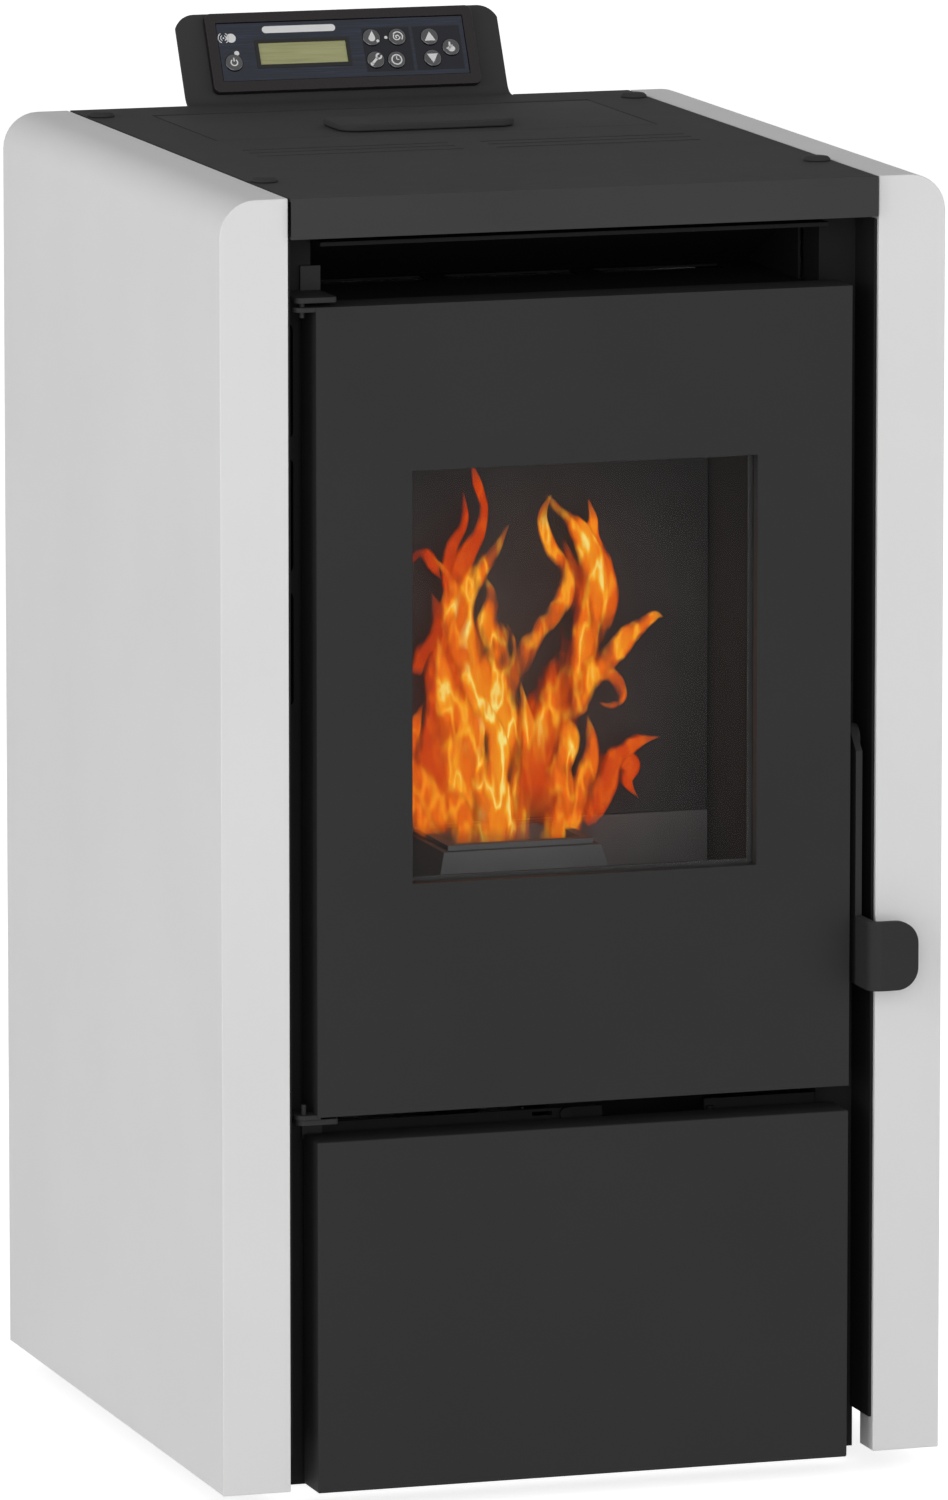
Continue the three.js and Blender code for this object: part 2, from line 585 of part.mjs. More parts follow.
// base, side walls and upper flanges that carry everything else
function frameTub() {
  const base = box(-frameHalf, frameHalf, innerFront, frameBack, BASE_BOTTOM, baseTop);
  const walls = [-1, 1].map((side) => {
    const [low, high] = [side * frameInner, side * frameHalf].sort((a, b) => a - b);
    return box(low, high, innerFront, frameBack, BASE_BOTTOM, frameTop);
  });
  const flanges = [-1, 1].map((side) => {
    const [low, high] = [side * TOP_FLANGE_INNER_X, side * frameHalf].sort((a, b) => a - b);
    const flange = box(low, high, CHEEK_FRONT, frameBack, frameTop - THIN, frameTop);
    return cut(flange, ...TOP_SCREW_Y.map((y) => (
      rod('z', [side * TOP_SCREW_X, y], TOP_SCREW_SHANK_RADIUS + SEAT, frameTop - 3, frameTop + 1, null, 16))));
  });
  const feet = [-1, 1].flatMap((side) => FOOT_Y.map((y) => [side * FOOT_X, y]));
  const bossTop = BASE_BOTTOM + FOOT_BOSS_HEIGHT;
  const bosses = feet.map((at) => rod('z', at, FOOT_BOSS_RADIUS, BASE_BOTTOM, bossTop));
  const bores = feet.map((at) => rod('z', at, STUD_RADIUS + SEAT, BASE_BOTTOM - 1, bossTop + 1));
  return cut(join(base, ...walls, ...flanges, ...bosses), ...bores);
}

function foot(x, y) {
  const padTop = BASE_BOTTOM - SEAT;
  return join(rod('z', [x, y], FOOT_RADIUS, -FOOT_HEIGHT, padTop, null, 24),
    rod('z', [x, y], STUD_RADIUS, padTop - 1, STUD_TOP, null, 12));
}

// upright beside the door, with a flange to the front, one to the back and a row of air slots
function post(side) {
  const span = (a, b) => [side * a, side * b].sort((low, high) => low - high);
  const strip = box(...span(POST_INNER_X, frameHalf), POST_FRONT, postBack, POST_BOTTOM, frameTop);
  const forward = box(...span(frameInner, frameHalf), POST_FLANGE_FRONT, postBack, POST_FLANGE_BOTTOM,
    CASING_HEIGHT - FASCIA_HEIGHT - SHEET);
  const inward = box(...span(POST_INNER_X, POST_INNER_X + SHEET), POST_FRONT, POST_INNER_FLANGE_BACK,
    baseTop + SEAT, frameTop);
  const slots = Array.from({ length: SLOT_COUNT }, (_, index) => {
    const top = SLOT_TOP - index * SLOT_PITCH;
    return roundedBox(...span(SLOT_INNER_X, SLOT_OUTER_X), top - SLOT_HEIGHT, top, [4, 4, 4, 4], 'xz',
      POST_FRONT - 1, postBack + 1);
  });
  return cut(join(strip, forward, inward), ...slots);
}

// sheet between the posts behind the lower panel, with the tabs that the panel's edges hook over
function crossSheet() {
  const half = POST_INNER_X - SEAT;
  const sheet = box(-half, half, POST_FRONT, postBack, CROSS_BOTTOM, CROSS_TOP);
  const opening = box(22, 84, POST_FRONT - 1, postBack + 1, CROSS_TOP - 24, CROSS_TOP + 1);
  const slot = box(-20, -8, POST_FRONT - 1, postBack + 1, CROSS_TOP - 4, CROSS_TOP - 1.5);
  const screw = rod('y', [0, CROSS_TOP - 3.4], 3.6, POST_FRONT - 2.4, POST_FRONT + 0.5, null, 20);
  const stop = rod('z', [87, POST_FRONT - 1], 2.2, CROSS_TOP - 22, CROSS_TOP - 4, null, 16);
  const tabOuter = DOOR_HALF_WIDTH - SHEET - RUN;
  const tabs = [-1, 1].map((side) => {
    const span = (a, b) => [side * a, side * b].sort((low, high) => low - high);
    const foot = box(...span(half - 4, tabOuter), POST_FRONT - SEAT - SHEET, POST_FRONT - SEAT, 60, 140);
    const bridge = box(...span(half - 4, half), POST_FRONT - SEAT - SHEET, postBack, 60, 140);
    return join(foot, bridge, box(...span(tabOuter - THIN, tabOuter), 10, POST_FRONT - SEAT, 60, 140));
  });
  return join(cut(sheet, opening, slot), screw, stop, ...tabs);
}

function lowerFrontPanel() {
  const skin = openBox(-DOOR_HALF_WIDTH, DOOR_HALF_WIDTH, DOOR_FRONT, DOOR_RETURN_BACK, LOWER_BOTTOM, LOWER_TOP,
    SHEET, ['+y']);
  return skin;
}

const ROWS = ['front', 'rear'];
const SIDES = { left: -1, right: 1 };
piece('side_panel_left', sidePanel(-1), 'greyPaint');
piece('side_panel_right', sidePanel(1), 'greyPaint');
piece('top_plate', topPlate(), 'blackPaint');
piece('hopper_lid', hopperLid(), 'blackPaint');
piece('lid_handle_bar', lidHandleBar(), 'blackPaint');
piece('rear_panel', rearPanel(), 'galvanised');
piece('frame_tub', frameTub(), 'galvanised');
piece('post_left', post(-1), 'blackPaint');
piece('post_right', post(1), 'blackPaint');
piece('cross_sheet', crossSheet(), 'blackPaint');
piece('lower_front_panel', lowerFrontPanel(), 'blackPaint');
ROWS.forEach((row, index) => {
  Object.entries(SIDES).forEach(([sideName, side]) => {
    piece(`top_screw_${row}_${sideName}`, topScrew(side * TOP_SCREW_X, TOP_SCREW_Y[index]), 'blackPaint');
    piece(`foot_${row}_${sideName}`, foot(side * FOOT_X, FOOT_Y[index]), 'plastic');
  });
});

// ---------------------------------------------------------------- fire door, its hinges and latch

// the skin with its returns, the window's reveal, and the stud that the latch turns on
function doorFrame() {
  const halfX = DOOR_HALF_WIDTH;
  const skin = openBox(-halfX, halfX, DOOR_FRONT, DOOR_RETURN_BACK, DOOR_BOTTOM, DOOR_TOP, SHEET, ['+y']);
  const revealBack = GLASS_FRONT - SEAT;
  const reveal = box(-WINDOW_HALF_WIDTH - SHEET, WINDOW_HALF_WIDTH + SHEET, DOOR_FRONT, revealBack,
    WINDOW_BOTTOM - SHEET, WINDOW_TOP + SHEET);
  const window = box(-WINDOW_HALF_WIDTH, WINDOW_HALF_WIDTH, DOOR_FRONT - 1, revealBack + 1, WINDOW_BOTTOM,
    WINDOW_TOP);
  const pivot = [LATCH_PIVOT_Y, LATCH_PIVOT_Z];
  const stop = LATCH_X - SEAT;
  const boss = rod('x', pivot, LATCH_END_RADIUS - 1, halfX - SHEET, stop);
  const stud = rod('x', pivot, LATCH_STUD_RADIUS, halfX - SHEET, LATCH_X + LATCH_THICKNESS + 2 * SEAT);
  const head = rod('x', pivot, LATCH_END_RADIUS - 1, LATCH_X + LATCH_THICKNESS + SEAT,
    LATCH_X + LATCH_THICKNESS + SEAT + SHEET);
  const lugs = [1, -1].map((end) => {
    const hinge = hingeLevels(end);
    const lug = roundedBox(HINGE_X - 5.5, -halfX + SHEET, HINGE_Y - 5.5, HINGE_Y + 5.5, [5.4, 0, 0, 5.4], 'xy',
      ...hinge.lug);
    return cut(lug, rod('z', [HINGE_X, HINGE_Y], HINGE_PIN_RADIUS + SEAT, hinge.lug[0] - 1, hinge.lug[1] + 1,
      null, 16));
  });
  return join(cut(join(skin, reveal), window), boss, stud, head, ...lugs);
}

// heights of a hinge's bracket, of the door's lug on it and of its pin; end is 1 above, -1 below
function hingeLevels(end) {
  const edge = end > 0 ? DOOR_TOP : DOOR_BOTTOM;
  const bracketNear = edge + end * (end > 0 ? 2.3 : 1.5);
  const bracket = [bracketNear, bracketNear + end * HINGE_BRACKET_THICKNESS];
  const lugNear = bracketNear - end * (end > 0 ? 2.3 : SEAT);
  const lug = [lugNear, lugNear - end * HINGE_LUG_THICKNESS];
  const pin = [bracket[1], bracketNear - end * HINGE_PIN_REACH];
  const ordered = (pair) => pair.sort((a, b) => a - b);
  return { bracket: ordered(bracket), lug: ordered(lug), pin: ordered(pin) };
}

// a flat arm from the post to the door's corner, with the pin riveted into it
function hinge(end) {
  const levels = hingeLevels(end);
  const left = HINGE_X - 4.5;
  const arm = roundedBox(left, HINGE_BRACKET_INNER_X, 1, POST_FRONT, [4.4, 2, 0, 0], 'xy', ...levels.bracket);
  const [low, high] = end > 0 ? [levels.bracket[0], levels.bracket[1] + 14] : [levels.bracket[0] - 14, levels.bracket[1]];
  const foot = box(left + 12, HINGE_BRACKET_INNER_X, POST_FRONT - SEAT - SHEET, POST_FRONT - SEAT, low, high);
  const trimmed = cut(arm, box(left - 1, 0, POST_FRONT - SEAT, POST_FRONT + 1, low - 1, high + 1));
  return join(trimmed, foot, rod('z', [HINGE_X, HINGE_Y], HINGE_PIN_RADIUS, ...levels.pin, null, 16));
}

const GLASS_BACK = GLASS_FRONT + GLASS_THICKNESS;
const LINER_FRONT = GLASS_BACK + SEAT;
const LINER_BACK = LINER_FRONT + SHEET;

function doorGlass() {
  const half = WINDOW_HALF_WIDTH + GLASS_LAP;
  return box(-half, half, GLASS_FRONT, GLASS_BACK, WINDOW_BOTTOM - GLASS_LAP, WINDOW_TOP + GLASS_LAP);
}

// plate that clamps the glass against the reveal and carries the rope's channel
function doorLiner() {
  const half = DOOR_HALF_WIDTH - LINER_MARGIN;
  const plate = box(-half, half, LINER_FRONT, LINER_BACK, DOOR_BOTTOM + LINER_MARGIN, DOOR_TOP - LINER_MARGIN);
  const window = box(-WINDOW_HALF_WIDTH + 2, WINDOW_HALF_WIDTH - 2, LINER_FRONT - 1, LINER_BACK + 1,
    WINDOW_BOTTOM + 2, WINDOW_TOP - 2);
  const channel = GASKET_WIDTH / 2 + SEAT + THIN;
  const walls = [-channel, channel - THIN].map((offset) => {
    const inset = GASKET_INSET + offset;
    return frameRing(DOOR_HALF_WIDTH - inset, DOOR_BOTTOM + inset, DOOR_TOP - inset, THIN, LINER_BACK - 0.5,
      LINER_BACK + 14);
  });
  // blocks that close the gap to the skin's returns
  const blocks = [-1, 1].flatMap((side) => [DOOR_BOTTOM + 60, DOOR_TOP - 60].map((z) => {
    const [low, high] = [side * (half - 4), side * (DOOR_HALF_WIDTH - SHEET - SEAT)].sort((a, b) => a - b);
    return box(low, high, LINER_FRONT, LINER_BACK + 8, z - 15, z + 15);
  }));
  return join(cut(plate, window), ...walls, ...blocks);
}

function doorGasket() {
  const inset = GASKET_INSET - GASKET_WIDTH / 2;
  return frameRing(DOOR_HALF_WIDTH - inset, DOOR_BOTTOM + inset, DOOR_TOP - inset, GASKET_WIDTH, LINER_BACK + SEAT,
    innerFront - SEAT);
}

// a flat lever with a hook behind its pivot and, below, a tab bent forward and out
function latchLever() {
  const outer = LATCH_X + LATCH_THICKNESS;
  const bend = Math.SQRT1_2 * LATCH_END_RADIUS;
  const legTop = LATCH_BOTTOM + TAB_HEIGHT;
  const outline = new THREE.Shape();
  outline.moveTo(0, LATCH_BOTTOM);
  outline.lineTo(LATCH_END_RADIUS * 1.3, LATCH_BOTTOM);
  outline.lineTo(LATCH_END_RADIUS * 1.3, LATCH_PIVOT_Z - 24);
  outline.lineTo(LATCH_PIVOT_Y + LATCH_END_RADIUS, LATCH_PIVOT_Z - 6);
  outline.absarc(LATCH_PIVOT_Y, LATCH_PIVOT_Z, LATCH_END_RADIUS, 0, 0.75 * Math.PI);
  outline.lineTo(0, LATCH_PIVOT_Z + bend - (LATCH_PIVOT_Y - bend));
  const blade = prism(outline, 'yz', LATCH_X, outer);
  const bore = rod('x', [LATCH_PIVOT_Y, LATCH_PIVOT_Z], LATCH_STUD_RADIUS + SEAT, LATCH_X - 1, outer + 1);
  const seatTop = STRIKER_Z - STRIKER_PIN_RADIUS - SEAT;
  const fingerFront = STRIKER_Y + STRIKER_PIN_RADIUS + SEAT;
  const hook = prism([[LATCH_PIVOT_Y, LATCH_PIVOT_Z - 6], [STRIKER_Y + 1, LATCH_PIVOT_Z - 8], [fingerFront + 2,
    LATCH_PIVOT_Z - 5], [fingerFront + 2, STRIKER_Z + 1.6], [fingerFront, STRIKER_Z + 1.6], [fingerFront, seatTop],
  [LATCH_PIVOT_Y, seatTop]], 'yz', LATCH_X, outer);
  const leg = box(LATCH_X, outer, TAB_FRONT + TAB_BEND_RADIUS, 1, LATCH_BOTTOM, legTop);
  const inside = TAB_BEND_RADIUS - LATCH_THICKNESS;
  const arc = (radius) => [0, 1, 2, 3, 4, 5, 6].map((step) => {
    const angle = Math.PI + (step / 6) * (Math.PI / 2);
    return [LATCH_X + TAB_BEND_RADIUS + radius * Math.cos(angle), TAB_FRONT + TAB_BEND_RADIUS + radius * Math.sin(angle)];
  });
  const elbow = prism([...arc(TAB_BEND_RADIUS), ...arc(inside).reverse()], 'xy', LATCH_BOTTOM, legTop);
  const tab = roundedBox(LATCH_X + TAB_BEND_RADIUS - 0.05, TAB_REACH_X, LATCH_BOTTOM, legTop,
    [0, TAB_CORNER_RADIUS, TAB_CORNER_RADIUS, 0], 'xz', TAB_FRONT, TAB_FRONT + LATCH_THICKNESS);
  const legLap = box(LATCH_X, outer, TAB_FRONT + TAB_BEND_RADIUS - 0.05, TAB_FRONT + TAB_BEND_RADIUS + 1, LATCH_BOTTOM,
    legTop);
  return cut(join(blade, hook, leg, elbow, tab, legLap), bore);
}

// bracket on the right-hand post with the cross pin that the latch's hook takes
function latchStriker() {
  const plateX = LATCH_X + LATCH_THICKNESS + 1;
  const foot = box(TOP_FLANGE_INNER_X, plateX + SHEET, POST_FRONT - SEAT - THIN, POST_FRONT - SEAT, STRIKER_Z + 8,
    STRIKER_Z + 28);
  const plate = box(plateX, plateX + SHEET, STRIKER_Y - 3, POST_FRONT - SEAT, STRIKER_Z - 7, STRIKER_Z + 28);
  const pin = rod('x', [STRIKER_Y, STRIKER_Z], STRIKER_PIN_RADIUS, LATCH_X - SEAT, plateX + 1, null, 16);
  return join(foot, plate, pin);
}

piece('door_frame', doorFrame(), 'blackPaint');
piece('door_liner', doorLiner(), 'liningSteel');
piece('door_glass', doorGlass(), 'glass');
piece('door_gasket', doorGasket(), 'rope');
piece('hinge_upper', hinge(1), 'blackPaint');
piece('hinge_lower', hinge(-1), 'blackPaint');
piece('latch_lever', latchLever(), 'blackPaint');
piece('latch_striker', latchStriker(), 'bareSteel');

// ---------------------------------------------------------------- fire

const fireboxInner = FIREBOX_HALF_WIDTH - PLATE;
const fireBackWall = FIREBOX_BACK - PLATE;
const deckBottom = DECK_TOP - DECK_THICKNESS;
const intakeBore = INTAKE_RADIUS - PIPE_WALL;

// welded box with its front plate and the pipe that feeds it air from behind
function firebox() {
  const shell = openBox(-FIREBOX_HALF_WIDTH, FIREBOX_HALF_WIDTH, innerFront, FIREBOX_BACK, FIREBOX_BOTTOM, FIREBOX_TOP,
    PLATE, ['-y']);
  const half = POST_INNER_X - SEAT;
  const front = box(-half, half, innerFront, innerFront + PLATE, FRONT_PLATE_BOTTOM, FRONT_PLATE_TOP);
  const mouth = box(-MOUTH_HALF_WIDTH, MOUTH_HALF_WIDTH, innerFront - 1, innerFront + PLATE + 1, FIREBOX_BOTTOM + PLATE,
    MOUTH_TOP);
  const through = [fireBackWall - 1, FIREBOX_BACK + 1];
  const pipe = rod('y', [INTAKE_X, INTAKE_Z], INTAKE_RADIUS, FIREBOX_BACK - 1, INTAKE_END, null, 32);
  return cut(join(shell, front, pipe), mouth,
    rod('y', [INTAKE_X, INTAKE_Z], intakeBore, fireBackWall - 1, INTAKE_END + 1, null, 32),
    rod('y', [IGNITER_X, IGNITER_Z], IGNITER_RADIUS + SEAT, ...through),
    box(-CHUTE_HALF_WIDTH - SEAT, CHUTE_HALF_WIDTH + SEAT, ...through, CHUTE_BOTTOM - SEAT, CHUTE_TOP + SEAT),
    box(SMOKE_LEFT, SMOKE_RIGHT, ...through, SMOKE_BOTTOM, SMOKE_TOP));
}

function fireback() {
  const plate = box(-FIREBACK_HALF_WIDTH, FIREBACK_HALF_WIDTH, FIREBACK_FRONT, fireBackWall - SEAT, FIREBACK_BOTTOM,
    FIREBACK_TOP);
  const through = [FIREBACK_FRONT - 1, fireBackWall + 1];
  return cut(plate,
    box(-CHUTE_HALF_WIDTH - RUN, CHUTE_HALF_WIDTH + RUN, ...through, CHUTE_BOTTOM - RUN, CHUTE_TOP + RUN),
    box(SMOKE_LEFT, SMOKE_RIGHT, ...through, SMOKE_BOTTOM, SMOKE_TOP));
}

const potFront = KERB_FRONT + POT_WALL;
const potBack = KERB_BACK - POT_WALL;
const potHalf = KERB_HALF_WIDTH - POT_WALL;

// deck across the firebox with the sloping kerb that the pot stands in
function potHolder() {
  const half = fireboxInner - SEAT;
  const deck = box(-half, half, innerFront + PLATE + SEAT, fireBackWall - SEAT, deckBottom, DECK_TOP);
  const corners = (halfX, front, z) => [-1, 1].flatMap((side) => [front, KERB_BACK].map((y) => (
    new THREE.Vector3(side * halfX, y, z))));
  const kerb = toSolid(new ConvexGeometry([
    ...corners(KERB_HALF_WIDTH + KERB_SLOPE, KERB_FRONT - KERB_SLOPE, DECK_TOP - 1),
    ...corners(KERB_HALF_WIDTH, KERB_FRONT, KERB_TOP)]));
  const well = box(-potHalf, potHalf, potFront, potBack, deckBottom - 1, KERB_TOP + 1);
  const heat = rod('y', [IGNITER_X, IGNITER_Z], IGNITER_RADIUS + 1, potBack - 1, KERB_BACK + 1);
  // the fireback's foot, welded to the deck
  const shelf = box(-FIREBACK_HALF_WIDTH, FIREBACK_HALF_WIDTH, FIREBACK_FRONT, fireBackWall - SEAT, DECK_TOP - 1,
    FIREBACK_BOTTOM - SEAT);
  const shelfHeat = rod('y', [IGNITER_X, IGNITER_Z], IGNITER_RADIUS + SEAT, FIREBACK_FRONT - 4, fireBackWall + 1);
  return cut(join(deck, kerb, cut(shelf, shelfHeat)), well, heat);
}

// square cup that drops into the kerb and hangs by its rim, with air holes through its floor
function burnPot() {
  const outerX = potHalf - RUN;
  const rimZ = KERB_TOP + SEAT;
  const cup = box(-outerX, outerX, potFront + RUN, potBack - RUN, deckBottom, rimZ + POT_RIM);
  const rim = box(-outerX - 3, outerX + 3, potFront + RUN - 3, potBack - RUN + 3, rimZ, rimZ + POT_RIM);
  const cavity = box(PLATE - outerX, outerX - PLATE, potFront + RUN + PLATE, potBack - RUN - PLATE,
    DECK_TOP + PLATE, rimZ + POT_RIM + 1);
  const columns = [-27, -13.5, 0, 13.5, 27];
  const rows = [-16, 0, 16];
  const middleY = (potFront + potBack) / 2;
  const holes = columns.flatMap((x) => rows.map((row) => (
    rod('z', [x, middleY + row], 2.5, deckBottom - 1, DECK_TOP + PLATE + 1, null, 6))));
  const heat = rod('y', [IGNITER_X, IGNITER_Z], IGNITER_RADIUS, potBack - RUN - PLATE - 1, potBack + 1);
  return cut(join(cup, rim), cavity, heat, ...holes);
}

function ashDrawer() {
  const bottom = FIREBOX_BOTTOM + PLATE + SEAT;
  const top = bottom + DRAWER_HEIGHT;
  const back = KERB_BACK;
  const tray = openBox(-DRAWER_HALF_WIDTH, DRAWER_HALF_WIDTH, DRAWER_FRONT, back, bottom, top, THIN, ['+z']);
  const grip = box(-30, 30, DRAWER_FRONT - 6, DRAWER_FRONT + 1, top - 14, top - 12);
  const gripLip = box(-30, 30, DRAWER_FRONT - 6, DRAWER_FRONT - 4.5, top - 20, top - 12);
  return join(tray, grip, gripLip);
}

function igniter() {
  const start = KERB_BACK + SEAT;
  const body = rod('y', [IGNITER_X, IGNITER_Z], IGNITER_RADIUS, start, start + IGNITER_LENGTH);
  const collar = rod('y', [IGNITER_X, IGNITER_Z], IGNITER_RADIUS + 4, FIREBOX_BACK + SEAT, FIREBOX_BACK + SEAT + PLATE);
  return join(body, collar);
}

piece('firebox', firebox(), 'liningSteel');
piece('fireback', fireback(), 'liningSteel');
piece('pot_holder', potHolder(), 'castIron');
piece('burn_pot', burnPot(), 'castIron');
piece('ash_drawer', ashDrawer(), 'galvanised');
piece('igniter', igniter(), 'bareSteel');

// floor, cheeks, deflector and lip of the warm air outlet, one folded and welded piece
function outletDuct() {
  const half = POST_INNER_X - SEAT;
  const under = DUCT_FLOOR_TOP - THIN;
  const floor = box(-half, half, innerFront, DUCT_BACK, under, DUCT_FLOOR_TOP);
  const slots = [-1, 0, 1].map((column) => (
    box(column * 90 - 38, column * 90 + 38, AIR_SLOT_FRONT, AIR_SLOT_BACK, under - 1, DUCT_FLOOR_TOP + 1)));
  const legs = [[-120, -40], [40, 120]].map(([left, right]) => (
    box(left, right, CHEEK_FRONT, CHEEK_FRONT + THIN, FIREBOX_TOP + SEAT, DUCT_FLOOR_TOP - 0.5)));
  const lipTop = LIP_BOTTOM + LIP_THICKNESS;
  const slope = [[LIP_FRONT, LIP_BOTTOM], [LIP_BACK, LIP_BOTTOM], [DEFLECTOR_FOOT_Y, under], [DEFLECTOR_FOOT_Y + THIN,
    DUCT_FLOOR_TOP], [LIP_BACK + 1, lipTop], [LIP_FRONT, lipTop]];
  const deflector = prism(slope, 'yz', -half, half);
  const cheeks = [-1, 1].map((side) => {
    const [low, high] = [side * (half - THIN), side * half].sort((a, b) => a - b);
    return prism([[CHEEK_FRONT, under], [DEFLECTOR_FOOT_Y, under], [LIP_BACK, LIP_BOTTOM + 1],
      [CHEEK_FRONT, LIP_BOTTOM + 1]], 'yz', low, high);
  });
  return join(cut(floor, ...slots), deflector, ...cheeks, ...legs);
}

piece('outlet_duct', outletDuct(), 'blackPaint');

// ---------------------------------------------------------------- pellet feed

// the auger's own axes: X, across it towards the back, and up along the screw
const tilt = rad(AUGER_LEAN);
const augerPlace = new THREE.Matrix4().makeBasis(
  new THREE.Vector3(1, 0, 0),
  new THREE.Vector3(0, Math.cos(tilt), Math.sin(tilt)),
  new THREE.Vector3(0, -Math.sin(tilt), Math.cos(tilt)),
).setPosition(0, AUGER_TOP_Y + AUGER_LENGTH * Math.sin(tilt), AUGER_TOP_Z - AUGER_LENGTH * Math.cos(tilt));
const augerRod = (radius, low, high, sides) => rod('z', [0, 0], radius, low, high, augerPlace, sides);

// a hollow's outline in the side view, from the funnel's lower edge down into the tube
const throatOuter = [[THROAT_BACK - 48, FUNNEL_BOTTOM + 8], [THROAT_BACK, FUNNEL_BOTTOM], [THROAT_BACK, FUNNEL_BOTTOM - 7],
  [THROAT_BACK - 43, FUNNEL_BOTTOM - 34]];
const throatInner = [[THROAT_BACK - 51, FUNNEL_BOTTOM + 4.5], [THROAT_FRONT + 3, FUNNEL_BOTTOM + 0.5],
  [THROAT_BACK - THIN, FUNNEL_BOTTOM - 0.5], [THROAT_BACK - THIN, FUNNEL_BOTTOM - 6], [THROAT_BACK - 48, FUNNEL_BOTTOM - 34.5]];

function funnelSolid(inset, reach) {
  const ring = (halfX, frontY, backY, z) => [-1, 1].flatMap((side) => [frontY + inset, backY - inset].map((y) => (
    new THREE.Vector3(side * (halfX - inset), y, z))));
  return toSolid(new ConvexGeometry([
    ...ring(HOPPER_HALF_WIDTH, HOPPER_FRONT, HOPPER_BACK, FUNNEL_TOP + reach),
    ...ring(THROAT_HALF_WIDTH, THROAT_FRONT, THROAT_BACK, FUNNEL_BOTTOM - reach)]));
}

function hopper() {
  const halfX = HOPPER_HALF_WIDTH;
  const body = box(-halfX, halfX, HOPPER_FRONT, HOPPER_BACK, FUNNEL_TOP, HOPPER_TOP);
  const bodyInner = box(THIN - halfX, halfX - THIN, HOPPER_FRONT + THIN, HOPPER_BACK - THIN, FUNNEL_TOP - 0.2,
    HOPPER_TOP - THIN);
  const neck = box(-NECK_HALF_WIDTH, NECK_HALF_WIDTH, HOPPER_FRONT, NECK_BACK, HOPPER_TOP - 1, frameTop);
  const neckInner = box(THIN - NECK_HALF_WIDTH, NECK_HALF_WIDTH - THIN, HOPPER_FRONT + THIN, NECK_BACK - THIN,
    HOPPER_TOP - 3, frameTop + 1);
  const rim = box(-NECK_HALF_WIDTH - 18, NECK_HALF_WIDTH + 18, LID_FRONT - 13, NECK_BACK + THIN, frameTop - THIN, frameTop);
  const throat = prism(throatOuter, 'yz', -THROAT_HALF_WIDTH, THROAT_HALF_WIDTH);
  const throatHollow = prism(throatInner, 'yz', THIN - THROAT_HALF_WIDTH, THROAT_HALF_WIDTH - THIN);
  const tubeRoom = augerRod(AUGER_TUBE_RADIUS + SEAT, -5, AUGER_LENGTH + 5, 32);
  return cut(join(body, neck, rim, funnelSolid(0, 0), throat), bodyInner, neckInner, funnelSolid(THIN, 0.1),
    throatHollow, tubeRoom);
}

// tube from the hopper's throat up to the firebox, with the chute welded to its upper end
function augerTube() {
  const bore = AUGER_TUBE_RADIUS - AUGER_TUBE_WALL;
  const tube = augerRod(AUGER_TUBE_RADIUS, 0, AUGER_LENGTH, 32);
  const hollow = augerRod(bore, AUGER_TUBE_WALL, AUGER_LENGTH - AUGER_TUBE_WALL, 32);
  const half = CHUTE_HALF_WIDTH;
  const chute = cut(
    box(-half, half, CHUTE_FRONT, AUGER_TOP_Y + 6, CHUTE_BOTTOM, CHUTE_TOP),
    box(SHEET - half, half - SHEET, CHUTE_FRONT - 1, AUGER_TOP_Y + 7, CHUTE_BOTTOM + SHEET, CHUTE_TOP - SHEET));
  const mouth = box(SHEET - half, half - SHEET, CHUTE_FRONT - 1, AUGER_TOP_Y + 6, CHUTE_BOTTOM + SHEET,
    CHUTE_TOP - SHEET);
  const trimmed = cut(chute, augerRod(bore + 0.5, 0, AUGER_LENGTH, 32));
  const inlet = prism(throatInner, 'yz', THIN - THROAT_HALF_WIDTH, THROAT_HALF_WIDTH - THIN);
  const shaftHole = augerRod(MOTOR_SHAFT_RADIUS + SEAT, -1, AUGER_TUBE_WALL + 1, 20);
  return cut(join(tube, trimmed), hollow, mouth, inlet, shaftHole);
}

// a shaft with one ribbon of steel wound round it
function augerScrew() {
  const low = AUGER_TUBE_WALL + RUN;
  const shaft = augerRod(SCREW_SHAFT_RADIUS, low, AUGER_LENGTH - AUGER_TUBE_WALL - RUN, 16);
  const stub = augerRod(MOTOR_SHAFT_RADIUS, -GEAR_MOTOR_LENGTH / 4, low + 1, 16);
  const stepsPerTurn = 12;
  const steps = SCREW_TURNS * stepsPerTurn;
  const positions = [];
  const index = [];
  for (let step = 0; step <= steps; step += 1) {
    const angle = (step / stepsPerTurn) * 2 * Math.PI;
    const z = low + 4 + (step / stepsPerTurn) * SCREW_PITCH;
    const corners = [[SCREW_SHAFT_RADIUS - 2, 0], [SCREW_RADIUS, 0], [SCREW_RADIUS, FLIGHT_THICKNESS],
      [SCREW_SHAFT_RADIUS - 2, FLIGHT_THICKNESS]];
    corners.forEach(([r, up]) => positions.push(r * Math.cos(angle), r * Math.sin(angle), z + up));
  }
  for (let step = 0; step < steps; step += 1) {
    for (let side = 0; side < 4; side += 1) {
      const [a, b] = [step * 4 + side, step * 4 + ((side + 1) % 4)];
      index.push(a, b + 4, b, a, a + 4, b + 4);
    }
  }
  const last = steps * 4;
  index.push(0, 1, 2, 0, 2, 3, last, last + 2, last + 1, last, last + 3, last + 2);
  const flight = new THREE.BufferGeometry();
  flight.setAttribute('position', new THREE.Float32BufferAttribute(positions, 3));
  flight.setIndex(index);
  return join(shaft, stub, placed(flight, augerPlace));
}

